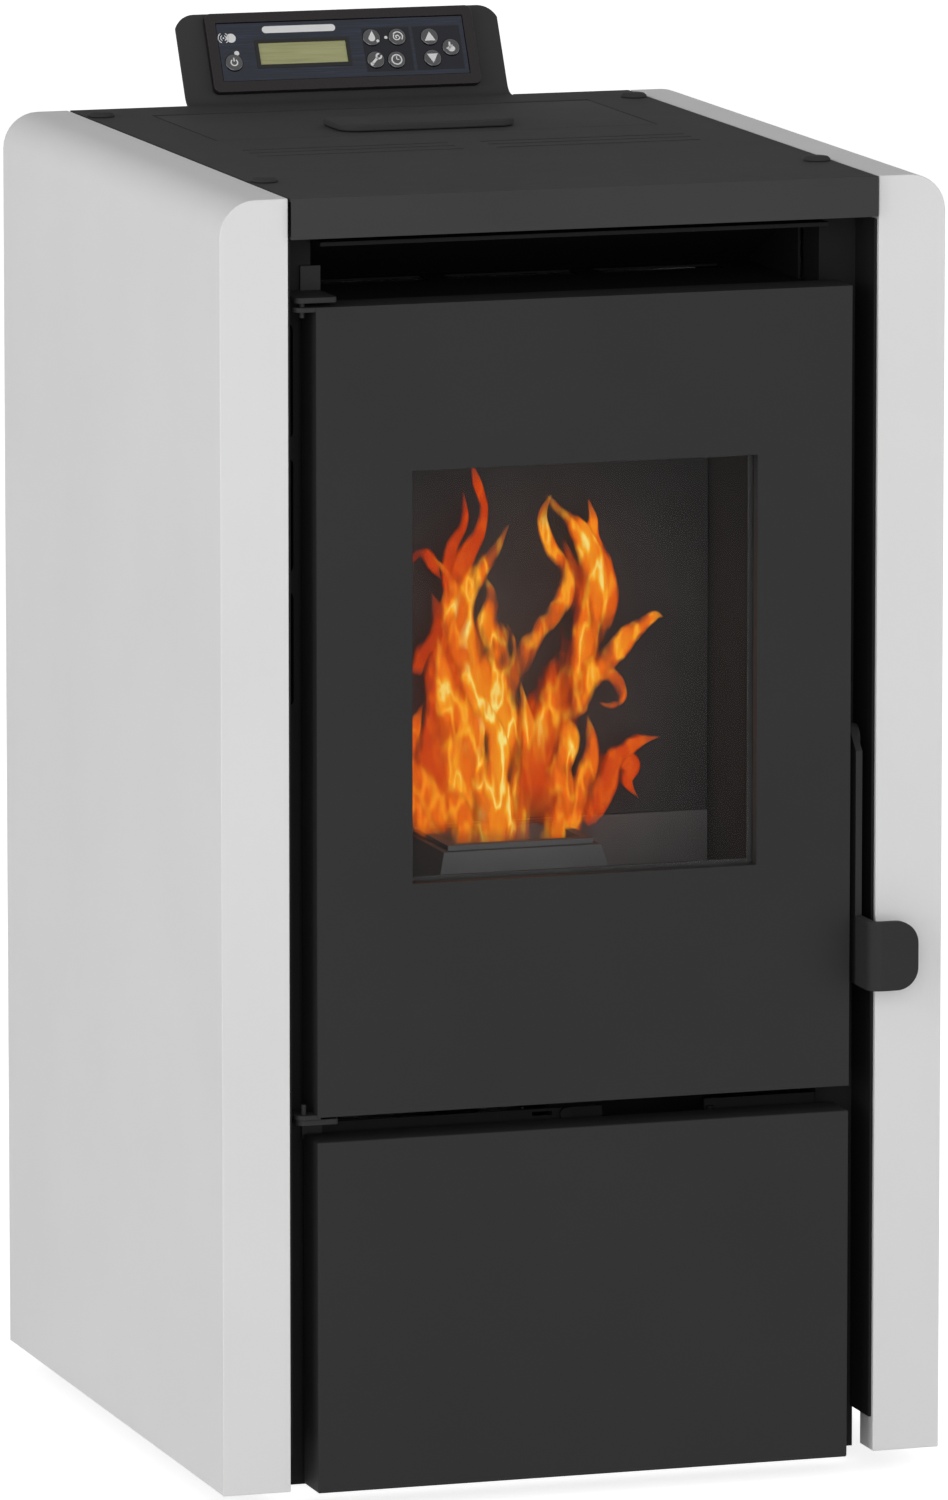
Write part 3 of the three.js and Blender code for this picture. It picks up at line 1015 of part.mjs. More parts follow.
function augerGearMotor() {
  const top = -SEAT;
  const gearbox = box(-32, 32, -32, 32, top - 34, top, augerPlace);
  const motor = augerRod(GEAR_MOTOR_RADIUS, top - GEAR_MOTOR_LENGTH, top - 33, 32);
  return cut(join(gearbox, motor), augerRod(MOTOR_SHAFT_RADIUS + SEAT, -GEAR_MOTOR_LENGTH / 4 - RUN, 1, 20));
}

piece('hopper', hopper(), 'galvanised');
piece('auger_tube', augerTube(), 'galvanised');
piece('auger_screw', augerScrew(), 'bareSteel');
piece('auger_gear_motor', augerGearMotor(), 'plastic');

// ---------------------------------------------------------------- smoke path

const flueFront = FIREBOX_BACK + SEAT;
const fanFront = FLUE_BACK + SEAT;
const fanBack = fanFront + SMOKE_FAN_DEPTH;
const fanAt = [SMOKE_FAN_X, SMOKE_FAN_Z];
const exhaustAt = [EXHAUST_X, EXHAUST_Z];

function flueDuct() {
  const duct = openBox(FLUE_LEFT, FLUE_RIGHT, flueFront, FLUE_BACK, FLUE_BOTTOM, FLUE_TOP, THIN, []);
  const inlet = box(SMOKE_LEFT, SMOKE_RIGHT, flueFront - 1, flueFront + THIN + 1, SMOKE_BOTTOM, SMOKE_TOP);
  const outlet = rod('y', fanAt, 28, FLUE_BACK - THIN - 1, FLUE_BACK + 1, null, 32);
  return cut(duct, inlet, outlet);
}

// scroll with its throat box, and the exhaust pipe cast on behind
function smokeFanHousing() {
  const boxLeft = EXHAUST_X - EXHAUST_RADIUS - 4;
  const [low, high] = [EXHAUST_Z - EXHAUST_RADIUS - 2, EXHAUST_Z + EXHAUST_RADIUS + 2];
  const scroll = rod('y', fanAt, SMOKE_FAN_RADIUS, fanFront, fanBack, null, 48);
  const throat = box(boxLeft, SMOKE_FAN_X, fanFront, fanBack, low, high);
  const pipe = rod('y', exhaustAt, EXHAUST_RADIUS, fanBack - 1, EXHAUST_END, null, 40);
  const scrollHollow = rod('y', fanAt, SMOKE_FAN_RADIUS - PIPE_WALL, fanFront + PIPE_WALL, fanBack - PIPE_WALL, null, 48);
  const throatHollow = box(boxLeft + PIPE_WALL, SMOKE_FAN_X, fanFront + PIPE_WALL, fanBack - PIPE_WALL,
    low + PIPE_WALL, high - PIPE_WALL);
  const bore = rod('y', exhaustAt, EXHAUST_RADIUS - PIPE_WALL, fanBack - PIPE_WALL - 1, EXHAUST_END + 1, null, 40);
  const inlet = rod('y', fanAt, 28, fanFront - 1, fanFront + PIPE_WALL + 1, null, 32);
  const shaftHole = rod('y', fanAt, MOTOR_SHAFT_RADIUS + SEAT, fanBack - PIPE_WALL - 1, fanBack + 1, null, 20);
  return cut(join(scroll, throat, pipe), scrollHollow, throatHollow, bore, inlet, shaftHole);
}

// a back disc with blades standing on it, on a shaft that enters the motor
function fanWheel(axis, at, radius, low, high, discAtHigh, shaft, bladeCount) {
  const disc = discAtHigh ? [high - 2, high] : [low, low + 2];
  const hub = rod(axis, at, MOTOR_SHAFT_RADIUS + 4, low + 2, high - 1);
  const blades = Array.from({ length: bladeCount }, (_, index) => {
    const angle = (index / bladeCount) * 2 * Math.PI;
    const blade = new THREE.BoxGeometry(radius * 0.4, 1.5, high - low - 1);
    blade.translate(radius * 0.78, 0, (high + low) / 2).rotateZ(angle);
    if (axis === 'x') blade.rotateY(Math.PI / 2).translate(0, at[0], at[1]);
    if (axis === 'y') blade.rotateX(-Math.PI / 2).translate(at[0], 0, at[1]);
    return toSolid(blade);
  });
  return join(rod(axis, at, radius, ...disc, null, 40), hub, rod(axis, at, MOTOR_SHAFT_RADIUS, ...shaft), ...blades);
}

function smokeImpeller() {
  const [low, high] = [fanFront + PIPE_WALL + 4, fanBack - PIPE_WALL - 4];
  return fanWheel('y', fanAt, IMPELLER_RADIUS, low, high, true, [high - 1, fanBack + 20], 9);
}

function smokeFanMotor() {
  const start = fanBack + SEAT;
  const body = rod('y', [SMOKE_FAN_X + 4, SMOKE_FAN_Z], SMOKE_MOTOR_RADIUS, start, start + SMOKE_MOTOR_LENGTH, null, 32);
  return cut(body, rod('y', fanAt, MOTOR_SHAFT_RADIUS + SEAT, start - 1, fanBack + 20 + RUN, null, 20));
}

piece('flue_duct', flueDuct(), 'liningSteel');
piece('smoke_fan_housing', smokeFanHousing(), 'galvanised');
piece('smoke_impeller', smokeImpeller(), 'bareSteel');
piece('smoke_fan_motor', smokeFanMotor(), 'plastic');

// ---------------------------------------------------------------- room air

const blowerAt = [BLOWER_Y, BLOWER_Z];

function roomBlowerHousing() {
  const [left, right] = [BLOWER_LEFT, BLOWER_RIGHT];
  const scroll = rod('x', blowerAt, BLOWER_RADIUS, left, right, null, 48);
  const outlet = box(left, right, BLOWER_Y - BLOWER_RADIUS, BLOWER_Y, BLOWER_Z, BLOWER_OUTLET_TOP);
  const scrollHollow = rod('x', blowerAt, BLOWER_RADIUS - PIPE_WALL, left + PIPE_WALL, right - PIPE_WALL, null, 48);
  const outletHollow = box(left + PIPE_WALL, right - PIPE_WALL, BLOWER_Y - BLOWER_RADIUS + PIPE_WALL,
    BLOWER_Y - PIPE_WALL, BLOWER_Z, BLOWER_OUTLET_TOP + 1);
  const intake = box(left + 8, right - 8, BLOWER_Y, BLOWER_Y + BLOWER_RADIUS + 1, BLOWER_Z - 16, BLOWER_Z + 16);
  const shaftHole = rod('x', blowerAt, MOTOR_SHAFT_RADIUS + SEAT, right - PIPE_WALL - 1, right + 1, null, 20);
  const foot = box(left + 16, right - 16, BLOWER_Y - 22, BLOWER_Y + 22, baseTop + SEAT, BLOWER_Z - BLOWER_RADIUS + 4);
  const footKept = cut(foot, rod('x', blowerAt, BLOWER_RADIUS - PIPE_WALL / 2, left, right, null, 48));
  return cut(join(cut(join(scroll, outlet), scrollHollow, outletHollow), footKept), intake, shaftHole);
}

function roomBlowerRotor() {
  const [low, high] = [BLOWER_LEFT + PIPE_WALL + 4, BLOWER_RIGHT - PIPE_WALL - 4];
  return fanWheel('x', blowerAt, BLOWER_ROTOR_RADIUS, low, high, true, [high - 1, BLOWER_RIGHT + 20], 12);
}

function roomBlowerMotor() {
  const start = BLOWER_RIGHT + SEAT;
  const body = rod('x', blowerAt, BLOWER_MOTOR_RADIUS, start, start + BLOWER_MOTOR_LENGTH, null, 32);
  return cut(body, rod('x', blowerAt, MOTOR_SHAFT_RADIUS + SEAT, start - 1, BLOWER_RIGHT + 20 + RUN, null, 20));
}

piece('room_blower_housing', roomBlowerHousing(), 'galvanised');
piece('room_blower_rotor', roomBlowerRotor(), 'galvanised');
piece('room_blower_motor', roomBlowerMotor(), 'plastic');

// ---------------------------------------------------------------- electrics

// the controller's board, standing off the left wall on four spacers
function controlBoard() {
  const wall = SEAT - frameInner;
  const board = box(wall + 6, wall + 7.6, BOARD_FRONT, BOARD_BACK, BOARD_BOTTOM, BOARD_TOP);
  const spacers = [BOARD_FRONT + 6, BOARD_BACK - 6].flatMap((y) => [BOARD_BOTTOM + 6, BOARD_TOP - 6].map((z) => (
    rod('x', [y, z], 3, wall, wall + 6.5, null, 12))));
  const chip = (along, up, width, height, thick) => box(wall + 7, wall + 7.6 + thick, BOARD_FRONT + along,
    BOARD_FRONT + along + width, BOARD_BOTTOM + up, BOARD_BOTTOM + up + height);
  const parts = [chip(15, 15, 34, 28, 3.5), chip(60, 20, 24, 18, 4.5), chip(15, 60, 18, 18, 2), chip(50, 60, 36, 12, 4.5),
    chip(15, 100, 70, 9, 3.5), chip(15, 120, 70, 9, 3.5)];
  return join(board, ...spacers, ...parts);
}

const flangeFront = rearBack + SEAT;
const rockerY = rearBack; // where the rocker's pin lies

// three-pin socket and the switch's surround, one moulding with its flange outside the rear panel
function powerInlet() {
  const x = ELECTRIC_X;
  const half = MODULE_HALF_WIDTH;
  const body = box(x - half, x + half, rearFront - 24, flangeFront + 1, moduleLow, moduleHigh);
  const flange = box(x - half - 5, x + half + 5, flangeFront, flangeFront + 2.5, moduleLow - 4, moduleHigh + 4);
  const well = box(x - 12, x + 12, flangeFront - 15, flangeFront + 4, INLET_Z - 8.2, INLET_Z + 8.2);
  const blades = [[-7, -2], [0, 2.5], [7, -2]].map(([dx, dz]) => (
    box(x + dx - 1, x + dx + 1, flangeFront - 16, flangeFront - 2, INLET_Z + dz - 2.2, INLET_Z + dz + 2.2)));
  const [wide, tall] = [ROCKER_HALF_WIDTH + RUN, ROCKER_HALF_HEIGHT + 3 * RUN];
  const switchWell = box(x - wide, x + wide, rearFront - 14, flangeFront + 4, SWITCH_Z - tall, SWITCH_Z + tall);
  const pinHole = rod('x', [rockerY, SWITCH_Z], ROCKER_PIN_RADIUS + SEAT, x - wide - 2, x + wide + 2, null, 16);
  return join(cut(join(body, flange), well, switchWell, pinHole), ...blades);
}

// rocker seen from the side: two faces that meet in a shallow valley, on a pin through its middle
function rockerSwitch() {
  const x = ELECTRIC_X;
  const half = ROCKER_DEPTH / 2;
  const shape = [[rockerY - half, SWITCH_Z], [rockerY, SWITCH_Z - ROCKER_HALF_HEIGHT],
    [rockerY + half, SWITCH_Z - ROCKER_HALF_HEIGHT], [rockerY + half - ROCKER_RISE, SWITCH_Z],
    [rockerY + half + ROCKER_RISE, SWITCH_Z + ROCKER_HALF_HEIGHT], [rockerY, SWITCH_Z + ROCKER_HALF_HEIGHT]];
  const pinEnd = ROCKER_HALF_WIDTH + RUN + 1;
  return join(prism(shape, 'yz', x - ROCKER_HALF_WIDTH, x + ROCKER_HALF_WIDTH),
    rod('x', [rockerY, SWITCH_Z], ROCKER_PIN_RADIUS, x - pinEnd, x + pinEnd, null, 16));
}

// safety thermostat's button, held behind the panel by its collar
function resetButton() {
  const at = [ELECTRIC_X, RESET_Z];
  const collar = rod('y', at, RESET_RADIUS + 3, rearFront - SEAT - 2, rearFront - SEAT);
  const cap = rod('y', at, RESET_RADIUS, rearFront - 2, rearBack + 5);
  return join(collar, cap, rod('y', at, RESET_RADIUS - 2, rearFront - 16, rearFront - 2, null, 16));
}

piece('control_board', controlBoard(), 'circuit');
piece('power_inlet', powerInlet(), 'plastic');
piece('rocker_switch', rockerSwitch(), 'red');
piece('reset_button', resetButton(), 'red');

// ---------------------------------------------------------------- display

const tilted = displayPlace;
const bracketFace = -BRACKET_SET_BACK;

// box behind the bracket's window with the bezel in front, one moulding
function displayHousing() {
  const outerX = FACE_HALF_WIDTH - SEAT;
  const [low, high] = [FACE_BOTTOM - 2, FACE_TOP + 2];
  const front = BEZEL_PROUD;
  const bezel = roundedBox(-BEZEL_HALF_WIDTH, BEZEL_HALF_WIDTH, BEZEL_BOTTOM, BEZEL_TOP, [4, 4, 4, 4], 'xy',
    bracketFace + SEAT, front, tilted);
  const body = box(-outerX, outerX, low, high, -DISPLAY_DEPTH, bracketFace + 1, tilted);
  const rebate = box(-FACE_HALF_WIDTH - SEAT, FACE_HALF_WIDTH + SEAT, FACE_BOTTOM - SEAT, FACE_TOP + SEAT,
    -FACE_THICKNESS - SEAT, front + 1, tilted);
  const ledgeHollow = box(DISPLAY_WALL - outerX, outerX - DISPLAY_WALL, FACE_BOTTOM + 1, FACE_TOP - 1,
    bracketFace, front + 1, tilted);
  const inside = box(DISPLAY_WALL - outerX, outerX - DISPLAY_WALL, low + DISPLAY_WALL, high - DISPLAY_WALL,
    DISPLAY_WALL - DISPLAY_DEPTH, bracketFace + 2 * SEAT, tilted);
  const cableSlot = box(-14, 14, low + 4, low + 12, -DISPLAY_DEPTH - 1, 1 - DISPLAY_DEPTH + DISPLAY_WALL, tilted);
  return cut(join(bezel, body), inside, ledgeHollow, rebate, cableSlot);
}

function displayFace() {
  const plate = box(-FACE_HALF_WIDTH, FACE_HALF_WIDTH, FACE_BOTTOM, FACE_TOP, -FACE_THICKNESS, 0, tilted);
  const holes = Object.values(KEYS).map((at) => (
    rod('z', at, KEY_RADIUS + SEAT, -FACE_THICKNESS - 1, 1, tilted, KEY_SIDES)));
  const screen = box(SCREEN_LEFT, SCREEN_RIGHT, SCREEN_BOTTOM, SCREEN_TOP, -FACE_THICKNESS - 1, 1, tilted);
  return cut(plate, screen, ...holes);
}

function displayScreen() {
  return box(SCREEN_LEFT + SEAT, SCREEN_RIGHT - SEAT, SCREEN_BOTTOM + SEAT, SCREEN_TOP - SEAT, -SCREEN_THICKNESS,
    -SEAT, tilted);
}

// a round cap through the face plate, with the flange that keeps it in
function displayKey(at) {
  const flangeTop = -FACE_THICKNESS - SEAT;
  return join(rod('z', at, KEY_RADIUS, flangeTop - 1, KEY_PROUD, tilted, KEY_SIDES),
    rod('z', at, KEY_RADIUS + KEY_FLANGE, flangeTop - 2, flangeTop, tilted, KEY_SIDES));
}

piece('display_housing', displayHousing(), 'plastic');
piece('display_face', displayFace(), 'face');
piece('display_screen', displayScreen(), 'screen');
Object.entries(KEYS).forEach(([name, at]) => piece(name, displayKey(at), 'key'));

// ---------------------------------------------------------------- standing on its feet, centred

const front = TAB_FRONT;
const back = EXHAUST_END;
const framed = new THREE.Group();
stove.position.set(0, -(front + back) / 2, FOOT_HEIGHT);
framed.add(stove);

export default framed;
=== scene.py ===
# %% [markdown]
# # A small pellet stove
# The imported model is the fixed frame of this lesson. Every steel sheet, hinge and shaft is already in it at its
# real size, so nothing here is moved or resized. What Blender adds is the finish of each surface: edges that
# catch the light, powder coat, brushed film, glass, the display's keys and signs, and the fire.

# %% Load the frame
import json
import math

import bmesh
import bpy
from mathutils import Matrix, Vector


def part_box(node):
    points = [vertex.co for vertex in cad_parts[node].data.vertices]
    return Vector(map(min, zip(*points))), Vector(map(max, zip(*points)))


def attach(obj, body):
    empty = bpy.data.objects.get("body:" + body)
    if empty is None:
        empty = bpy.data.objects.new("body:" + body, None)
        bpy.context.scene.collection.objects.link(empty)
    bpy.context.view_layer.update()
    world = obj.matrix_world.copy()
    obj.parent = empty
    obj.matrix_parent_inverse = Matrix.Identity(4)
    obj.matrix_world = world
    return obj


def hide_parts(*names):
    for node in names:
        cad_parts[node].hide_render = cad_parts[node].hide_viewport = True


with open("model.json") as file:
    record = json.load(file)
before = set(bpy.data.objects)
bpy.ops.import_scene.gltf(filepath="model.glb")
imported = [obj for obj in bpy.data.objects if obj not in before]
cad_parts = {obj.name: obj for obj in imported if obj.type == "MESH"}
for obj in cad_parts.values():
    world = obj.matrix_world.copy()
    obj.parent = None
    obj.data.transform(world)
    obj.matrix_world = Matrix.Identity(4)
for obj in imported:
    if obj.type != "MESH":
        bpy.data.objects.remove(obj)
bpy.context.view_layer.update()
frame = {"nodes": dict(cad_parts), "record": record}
nodes = frame["nodes"]
body_of_node = {node: body for body, members in frame["record"]["behaviour"]["bodies"].items() for node in members}
MM = 0.001
print("nodes in the frame:", len(nodes))

# %% [markdown]
# ## The camera
# The photograph's lines were solved for one camera: it stands about seven metres away, a little to the left and
# above, with a long lens. A long lens keeps the stove's upright edges nearly parallel.

# %% Camera
FLOOR_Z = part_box("foot_front_left")[0].z
CAMERA_PLACE = Vector((-2.278, -7.145, 1.6457))
CAMERA_YAW = math.radians(17.745)
CAMERA_DIP = math.radians(9.467)
SENSOR_HEIGHT = 24.0
LENS = 208.45

camera_data = bpy.data.cameras.new("camera")
camera_data.sensor_fit = "VERTICAL"
camera_data.sensor_height = SENSOR_HEIGHT
camera_data.lens = LENS
camera_data.clip_end = 50
camera = bpy.data.objects.new("camera", camera_data)
camera.location = CAMERA_PLACE
camera.rotation_euler = (math.pi / 2 - CAMERA_DIP, 0, -CAMERA_YAW)
bpy.context.scene.collection.objects.link(camera)
bpy.context.scene.camera = camera
bpy.context.scene.view_settings.view_transform = "Standard"
print("camera lens", camera_data.lens)

# %% [markdown]
# ## Helpers for materials
# A material is a small tree of nodes. These helpers only shorten the writing: `node` adds one node with its
# values, and `grain` gives a bump from a noise in real sizes, read from Object coordinates so that it stays put
# on the sheet when the door swings.

# %% Material helpers
def linear(value):
    """An sRGB value from 0 to 255 as the linear value that Blender's sockets take."""
    share = value / 255
    return share / 12.92 if share <= 0.04045 else ((share + 0.055) / 1.055) ** 2.4


def rgb(red, green, blue):
    return (linear(red), linear(green), linear(blue), 1.0)


def new_material(name, colour, roughness, metallic=0.0):
    material = bpy.data.materials.new(name)
    material.use_nodes = True
    shader = material.node_tree.nodes["Principled BSDF"]
    shader.inputs["Base Color"].default_value = colour
    shader.inputs["Roughness"].default_value = roughness
    shader.inputs["Metallic"].default_value = metallic
    return material, material.node_tree, shader


def node(tree, kind, **values):
    made = tree.nodes.new(kind)
    for key, value in values.items():
        if hasattr(made, key):
            setattr(made, key, value)
        else:
            made.inputs[key.replace("_", " ")].default_value = value
    return made


def noise(tree, scale, detail=4.0, stretch=(1, 1, 1)):
    """A noise on Object coordinates. scale is in lumps per metre; stretch draws it out along an axis."""
    place = node(tree, "ShaderNodeTexCoord")
    mapping = node(tree, "ShaderNodeMapping")
    mapping.inputs["Scale"].default_value = stretch
    pattern = node(tree, "ShaderNodeTexNoise", Scale=scale, Detail=detail)
    tree.links.new(place.outputs["Object"], mapping.inputs["Vector"])
    tree.links.new(mapping.outputs["Vector"], pattern.inputs["Vector"])
    return pattern.outputs["Fac"]


def ramp(tree, source, *stops):
    made = node(tree, "ShaderNodeValToRGB")
    while len(made.color_ramp.elements) < len(stops):
        made.color_ramp.elements.new(0.5)
    for element, (position, colour) in zip(made.color_ramp.elements, stops):
        element.position = position
        element.color = colour
    tree.links.new(source, made.inputs["Fac"])
    return made.outputs["Color"]


def grain(tree, shader, height, strength, distance):
    """Bump from a height pattern; distance is the real height in metres."""
    bump = node(tree, "ShaderNodeBump", Strength=strength, Distance=distance)
    tree.links.new(height, bump.inputs["Height"])
    tree.links.new(bump.outputs["Normal"], shader.inputs["Normal"])


def grey(value):
    return rgb(value, value, value)


# %% [markdown]
# ## Powder coat
# Nearly all that shows is powder-coated sheet. Powder coat is never quite flat: it has a fine orange peel, and
# its tone drifts a little. The grey side panels are satin, and the black front is a soft matte.

# %% Powder coats
def powder_coat(name, tone, drift, roughness, peel, shine):
    """tone and drift are grey values from 0 to 255; peel is the depth of the orange peel in metres."""
    material, tree, shader = new_material(name, grey(tone), roughness)
    shader.inputs["Specular IOR Level"].default_value = shine
    cloud = noise(tree, 9.0, 2.0)
    tint = ramp(tree, cloud, (0.3, grey(tone - drift)), (0.7, grey(tone + drift)))
    tree.links.new(tint, shader.inputs["Base Color"])
    rough = node(tree, "ShaderNodeMapRange", To_Min=roughness - 0.04, To_Max=roughness + 0.06)
    tree.links.new(noise(tree, 60.0, 3.0), rough.inputs["Value"])
    tree.links.new(rough.outputs["Result"], shader.inputs["Roughness"])
    grain(tree, shader, noise(tree, 900.0, 3.0), 0.35, peel)
    return material


GREY_COAT = powder_coat("grey_coat", 218, 1.2, 0.55, 0.00004, 0.12)
BLACK_COAT = powder_coat("black_coat", 43, 1.0, 0.55, 0.00005, 0.12)
# The top's coat is painted lighter than the black front and has almost no gloss: its lighter tone is painted sheen,
# the glancing reflection of the bright room on the dark top.
TOP_COAT_PAINTED_SHEEN = powder_coat("top_coat_painted_sheen", 63, 1.2, 0.8, 0.00005, 0.03)
INNER_COAT = powder_coat("inner_coat", 26, 1.5, 0.7, 0.00005, 0.1)
print("powder coats:", GREY_COAT.name, BLACK_COAT.name)


# %% [markdown]
# ## Metals
# Galvanised sheet has its spangle, a mosaic of crystals that a Voronoi pattern makes. Turned and drawn steel
# has fine lines. Cast iron is rough and dull, and darker where the fire has been at it.

# %% Metals
def galvanised():
    material, tree, shader = new_material("galvanised_sheet", grey(168), 0.42, 1.0)
    place = node(tree, "ShaderNodeTexCoord")
    cells = node(tree, "ShaderNodeTexVoronoi", Scale=190.0)
    tree.links.new(place.outputs["Object"], cells.inputs["Vector"])
    tone = ramp(tree, cells.outputs["Color"], (0.0, grey(161)), (1.0, grey(176)))
    tree.links.new(tone, shader.inputs["Base Color"])
    rough = node(tree, "ShaderNodeMapRange", To_Min=0.34, To_Max=0.52)
    tree.links.new(cells.outputs["Distance"], rough.inputs["Value"])
    tree.links.new(rough.outputs["Result"], shader.inputs["Roughness"])
    return material


def drawn_steel():
    material, tree, shader = new_material("drawn_steel", grey(178), 0.32, 1.0)
    lines = noise(tree, 60.0, 6.0, (1, 1, 30))
    tree.links.new(ramp(tree, lines, (0.3, grey(160)), (0.7, grey(196))), shader.inputs["Base Color"])
    grain(tree, shader, lines, 0.2, 0.00003)
    return material


def fire_metal(name, tone, roughness, soot):
    """Steel or iron in the fire: a dull tone with soot in soft clouds and a sandy skin."""
    material, tree, shader = new_material(name, grey(tone), roughness)
    cloud = noise(tree, 22.0, 5.0)
    tint = ramp(tree, cloud, (0.35, grey(tone - soot)), (0.65, grey(tone + soot)))
    tree.links.new(tint, shader.inputs["Base Color"])
    shader.inputs["Specular IOR Level"].default_value = 0.1
    grain(tree, shader, noise(tree, 500.0, 3.0), 0.2, 0.0001)
    return material


GALVANISED = galvanised()
DRAWN_STEEL = drawn_steel()
LINING = fire_metal("fire_lining", 76, 0.85, 3)
CAST_IRON = fire_metal("cast_iron", 124, 0.8, 4)


# %% [markdown]
# ## Plastics, rope and glass
# The display's bezel is a coarse-grained black moulding. Its face is a navy film printed with fine brushed
# lines. The window is a thin pane: it lets the fire through and adds a faint reflection of the room.

# %% Plastics, rope and glass
def moulded(name, colour, roughness, scale, depth):
    material, tree, shader = new_material(name, colour, roughness)
    shader.inputs["Specular IOR Level"].default_value = 0.25
    specks = noise(tree, scale, 5.0)
    rough = node(tree, "ShaderNodeMapRange", To_Min=roughness - 0.1, To_Max=roughness + 0.12)
    tree.links.new(specks, rough.inputs["Value"])
    tree.links.new(rough.outputs["Result"], shader.inputs["Roughness"])
    grain(tree, shader, specks, 0.8, depth)
    return material


def brushed_film():
    material, tree, shader = new_material("brushed_film", rgb(24, 31, 48), 0.34)
    lines = noise(tree, 40.0, 8.0, (1, 40, 40))
    tint = ramp(tree, lines, (0.3, rgb(13, 17, 28)), (0.55, rgb(22, 29, 45)), (0.8, rgb(44, 56, 82)))
    tree.links.new(tint, shader.inputs["Base Color"])
    shader.inputs["Specular IOR Level"].default_value = 0.3
    shader.inputs["Coat Weight"].default_value = 0.15
    shader.inputs["Coat Roughness"].default_value = 0.12
    return material


def screen_film():
    material, tree, shader = new_material("screen_film", rgb(150, 150, 98), 0.3)
    bands = noise(tree, 25.0, 4.0, (1, 25, 25))
    tint = ramp(tree, bands, (0.25, rgb(136, 136, 84)), (0.75, rgb(168, 168, 116)))
    tree.links.new(tint, shader.inputs["Base Color"])
    shader.inputs["Coat Weight"].default_value = 0.6
    return material


def rope():
    material, tree, shader = new_material("rope_seal", grey(70), 0.95)
    twist = noise(tree, 600.0, 3.0, (1, 1, 0.4))
    tree.links.new(ramp(tree, twist, (0.3, grey(50)), (0.7, grey(96))), shader.inputs["Base Color"])
    grain(tree, shader, twist, 0.9, 0.0006)
    return material


def window_pane():
    material = bpy.data.materials.new("window_pane")
    material.use_nodes = True
    tree = material.node_tree
    tree.nodes.remove(tree.nodes["Principled BSDF"])
    through = node(tree, "ShaderNodeBsdfTransparent", Color=(0.93, 0.93, 0.93, 1))
    gloss = node(tree, "ShaderNodeBsdfGlossy", Roughness=0.06)
    edge = node(tree, "ShaderNodeFresnel", IOR=1.15)
    mix = node(tree, "ShaderNodeMixShader")
    tree.links.new(edge.outputs["Fac"], mix.inputs["Fac"])
    tree.links.new(through.outputs["BSDF"], mix.inputs[1])
    tree.links.new(gloss.outputs["BSDF"], mix.inputs[2])
    tree.links.new(mix.outputs["Shader"], tree.nodes["Material Output"].inputs["Surface"])
    return material


BEZEL = moulded("bezel_moulding", rgb(30, 26, 28), 0.36, 620.0, 0.0005)
BLACK_PLASTIC = moulded("black_plastic", grey(30), 0.5, 500.0, 0.00008)
RED_PLASTIC = moulded("red_plastic", rgb(176, 26, 22), 0.32, 300.0, 0.00003)
CIRCUIT = moulded("circuit_board", rgb(20, 96, 52), 0.45, 250.0, 0.00005)
FILM = brushed_film()
SCREEN = screen_film()
ROPE = rope()
PANE = window_pane()
print("materials made:", len(bpy.data.materials))

# %% [markdown]
# ## Dressing the sheet metal
# A bent or cut sheet has no knife edges. Each visible node is copied, its loose triangles are merged back into
# whole faces, and a narrow bevel rounds every edge, so that the edges catch the light as the real ones do. The
# copy then stands for the node. Nodes deep inside keep their own mesh and only get a material.

# %% Dress a node
SMOOTH_ANGLE = math.radians(32)
FLAT_ANGLE = math.radians(0.4)


def dressed(name, material, edge_mm, segments=3):
    """A copy of a CAD node with merged faces and rounded edges, riding where the node rides."""
    mesh = nodes[name].data.copy()
    mesh.name = name + "_dressed"
    shape = bmesh.new()
    shape.from_mesh(mesh)
    bmesh.ops.remove_doubles(shape, verts=shape.verts, dist=2e-6)
    bmesh.ops.dissolve_limit(shape, angle_limit=FLAT_ANGLE, verts=shape.verts, edges=shape.edges)
    for face in shape.faces:
        face.smooth = True
    for edge in shape.edges:
        edge.smooth = edge.calc_face_angle(0) < SMOOTH_ANGLE
    shape.to_mesh(mesh)
    shape.free()
    mesh.materials.clear()
    mesh.materials.append(material)
    piece = bpy.data.objects.new(name + "_dressed", mesh)
    bpy.context.scene.collection.objects.link(piece)
    if edge_mm:
        rounding = piece.modifiers.new("edges", "BEVEL")
        rounding.width = edge_mm * MM
        rounding.segments = segments
        rounding.limit_method = "ANGLE"
        rounding.angle_limit = SMOOTH_ANGLE
        rounding.harden_normals = True
        rounding.use_clamp_overlap = True
    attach(piece, body_of_node[name])
    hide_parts(name)
    return piece


# %% Which nodes are dressed, with what, and how round their edges are
dress_list = {
    "side_panel_left": (GREY_COAT, 0.6),
    "side_panel_right": (GREY_COAT, 0.6),
    "top_plate": (TOP_COAT_PAINTED_SHEEN, 0.6),
    "hopper_lid": (TOP_COAT_PAINTED_SHEEN, 0.35),
    "lid_handle_bar": (TOP_COAT_PAINTED_SHEEN, 1.4),
    "lower_front_panel": (BLACK_COAT, 1.8),
    "door_frame": (BLACK_COAT, 1.8),
    "post_left": (INNER_COAT, 0.5),
    "post_right": (INNER_COAT, 0.5),
    "cross_sheet": (INNER_COAT, 0.4),
    "outlet_duct": (INNER_COAT, 0.4),
    "hinge_upper": (BLACK_COAT, 0.4),
    "hinge_lower": (BLACK_COAT, 0.4),
    "latch_lever": (BLACK_COAT, 0.6),
    "latch_striker": (INNER_COAT, 0.3),
    "display_housing": (BEZEL, 1.0),
    "rear_panel": (GALVANISED, 0.3),
    "pot_holder": (CAST_IRON, 0.8),
    "burn_pot": (CAST_IRON, 0.6),
    "fireback": (LINING, 0.8),
    "firebox": (LINING, 0.5),
    "smoke_fan_housing": (GALVANISED, 0.4),
    "power_inlet": (BLACK_PLASTIC, 0.5),
    "rocker_switch": (RED_PLASTIC, 0.5),
    "reset_button": (RED_PLASTIC, 0.5),
}
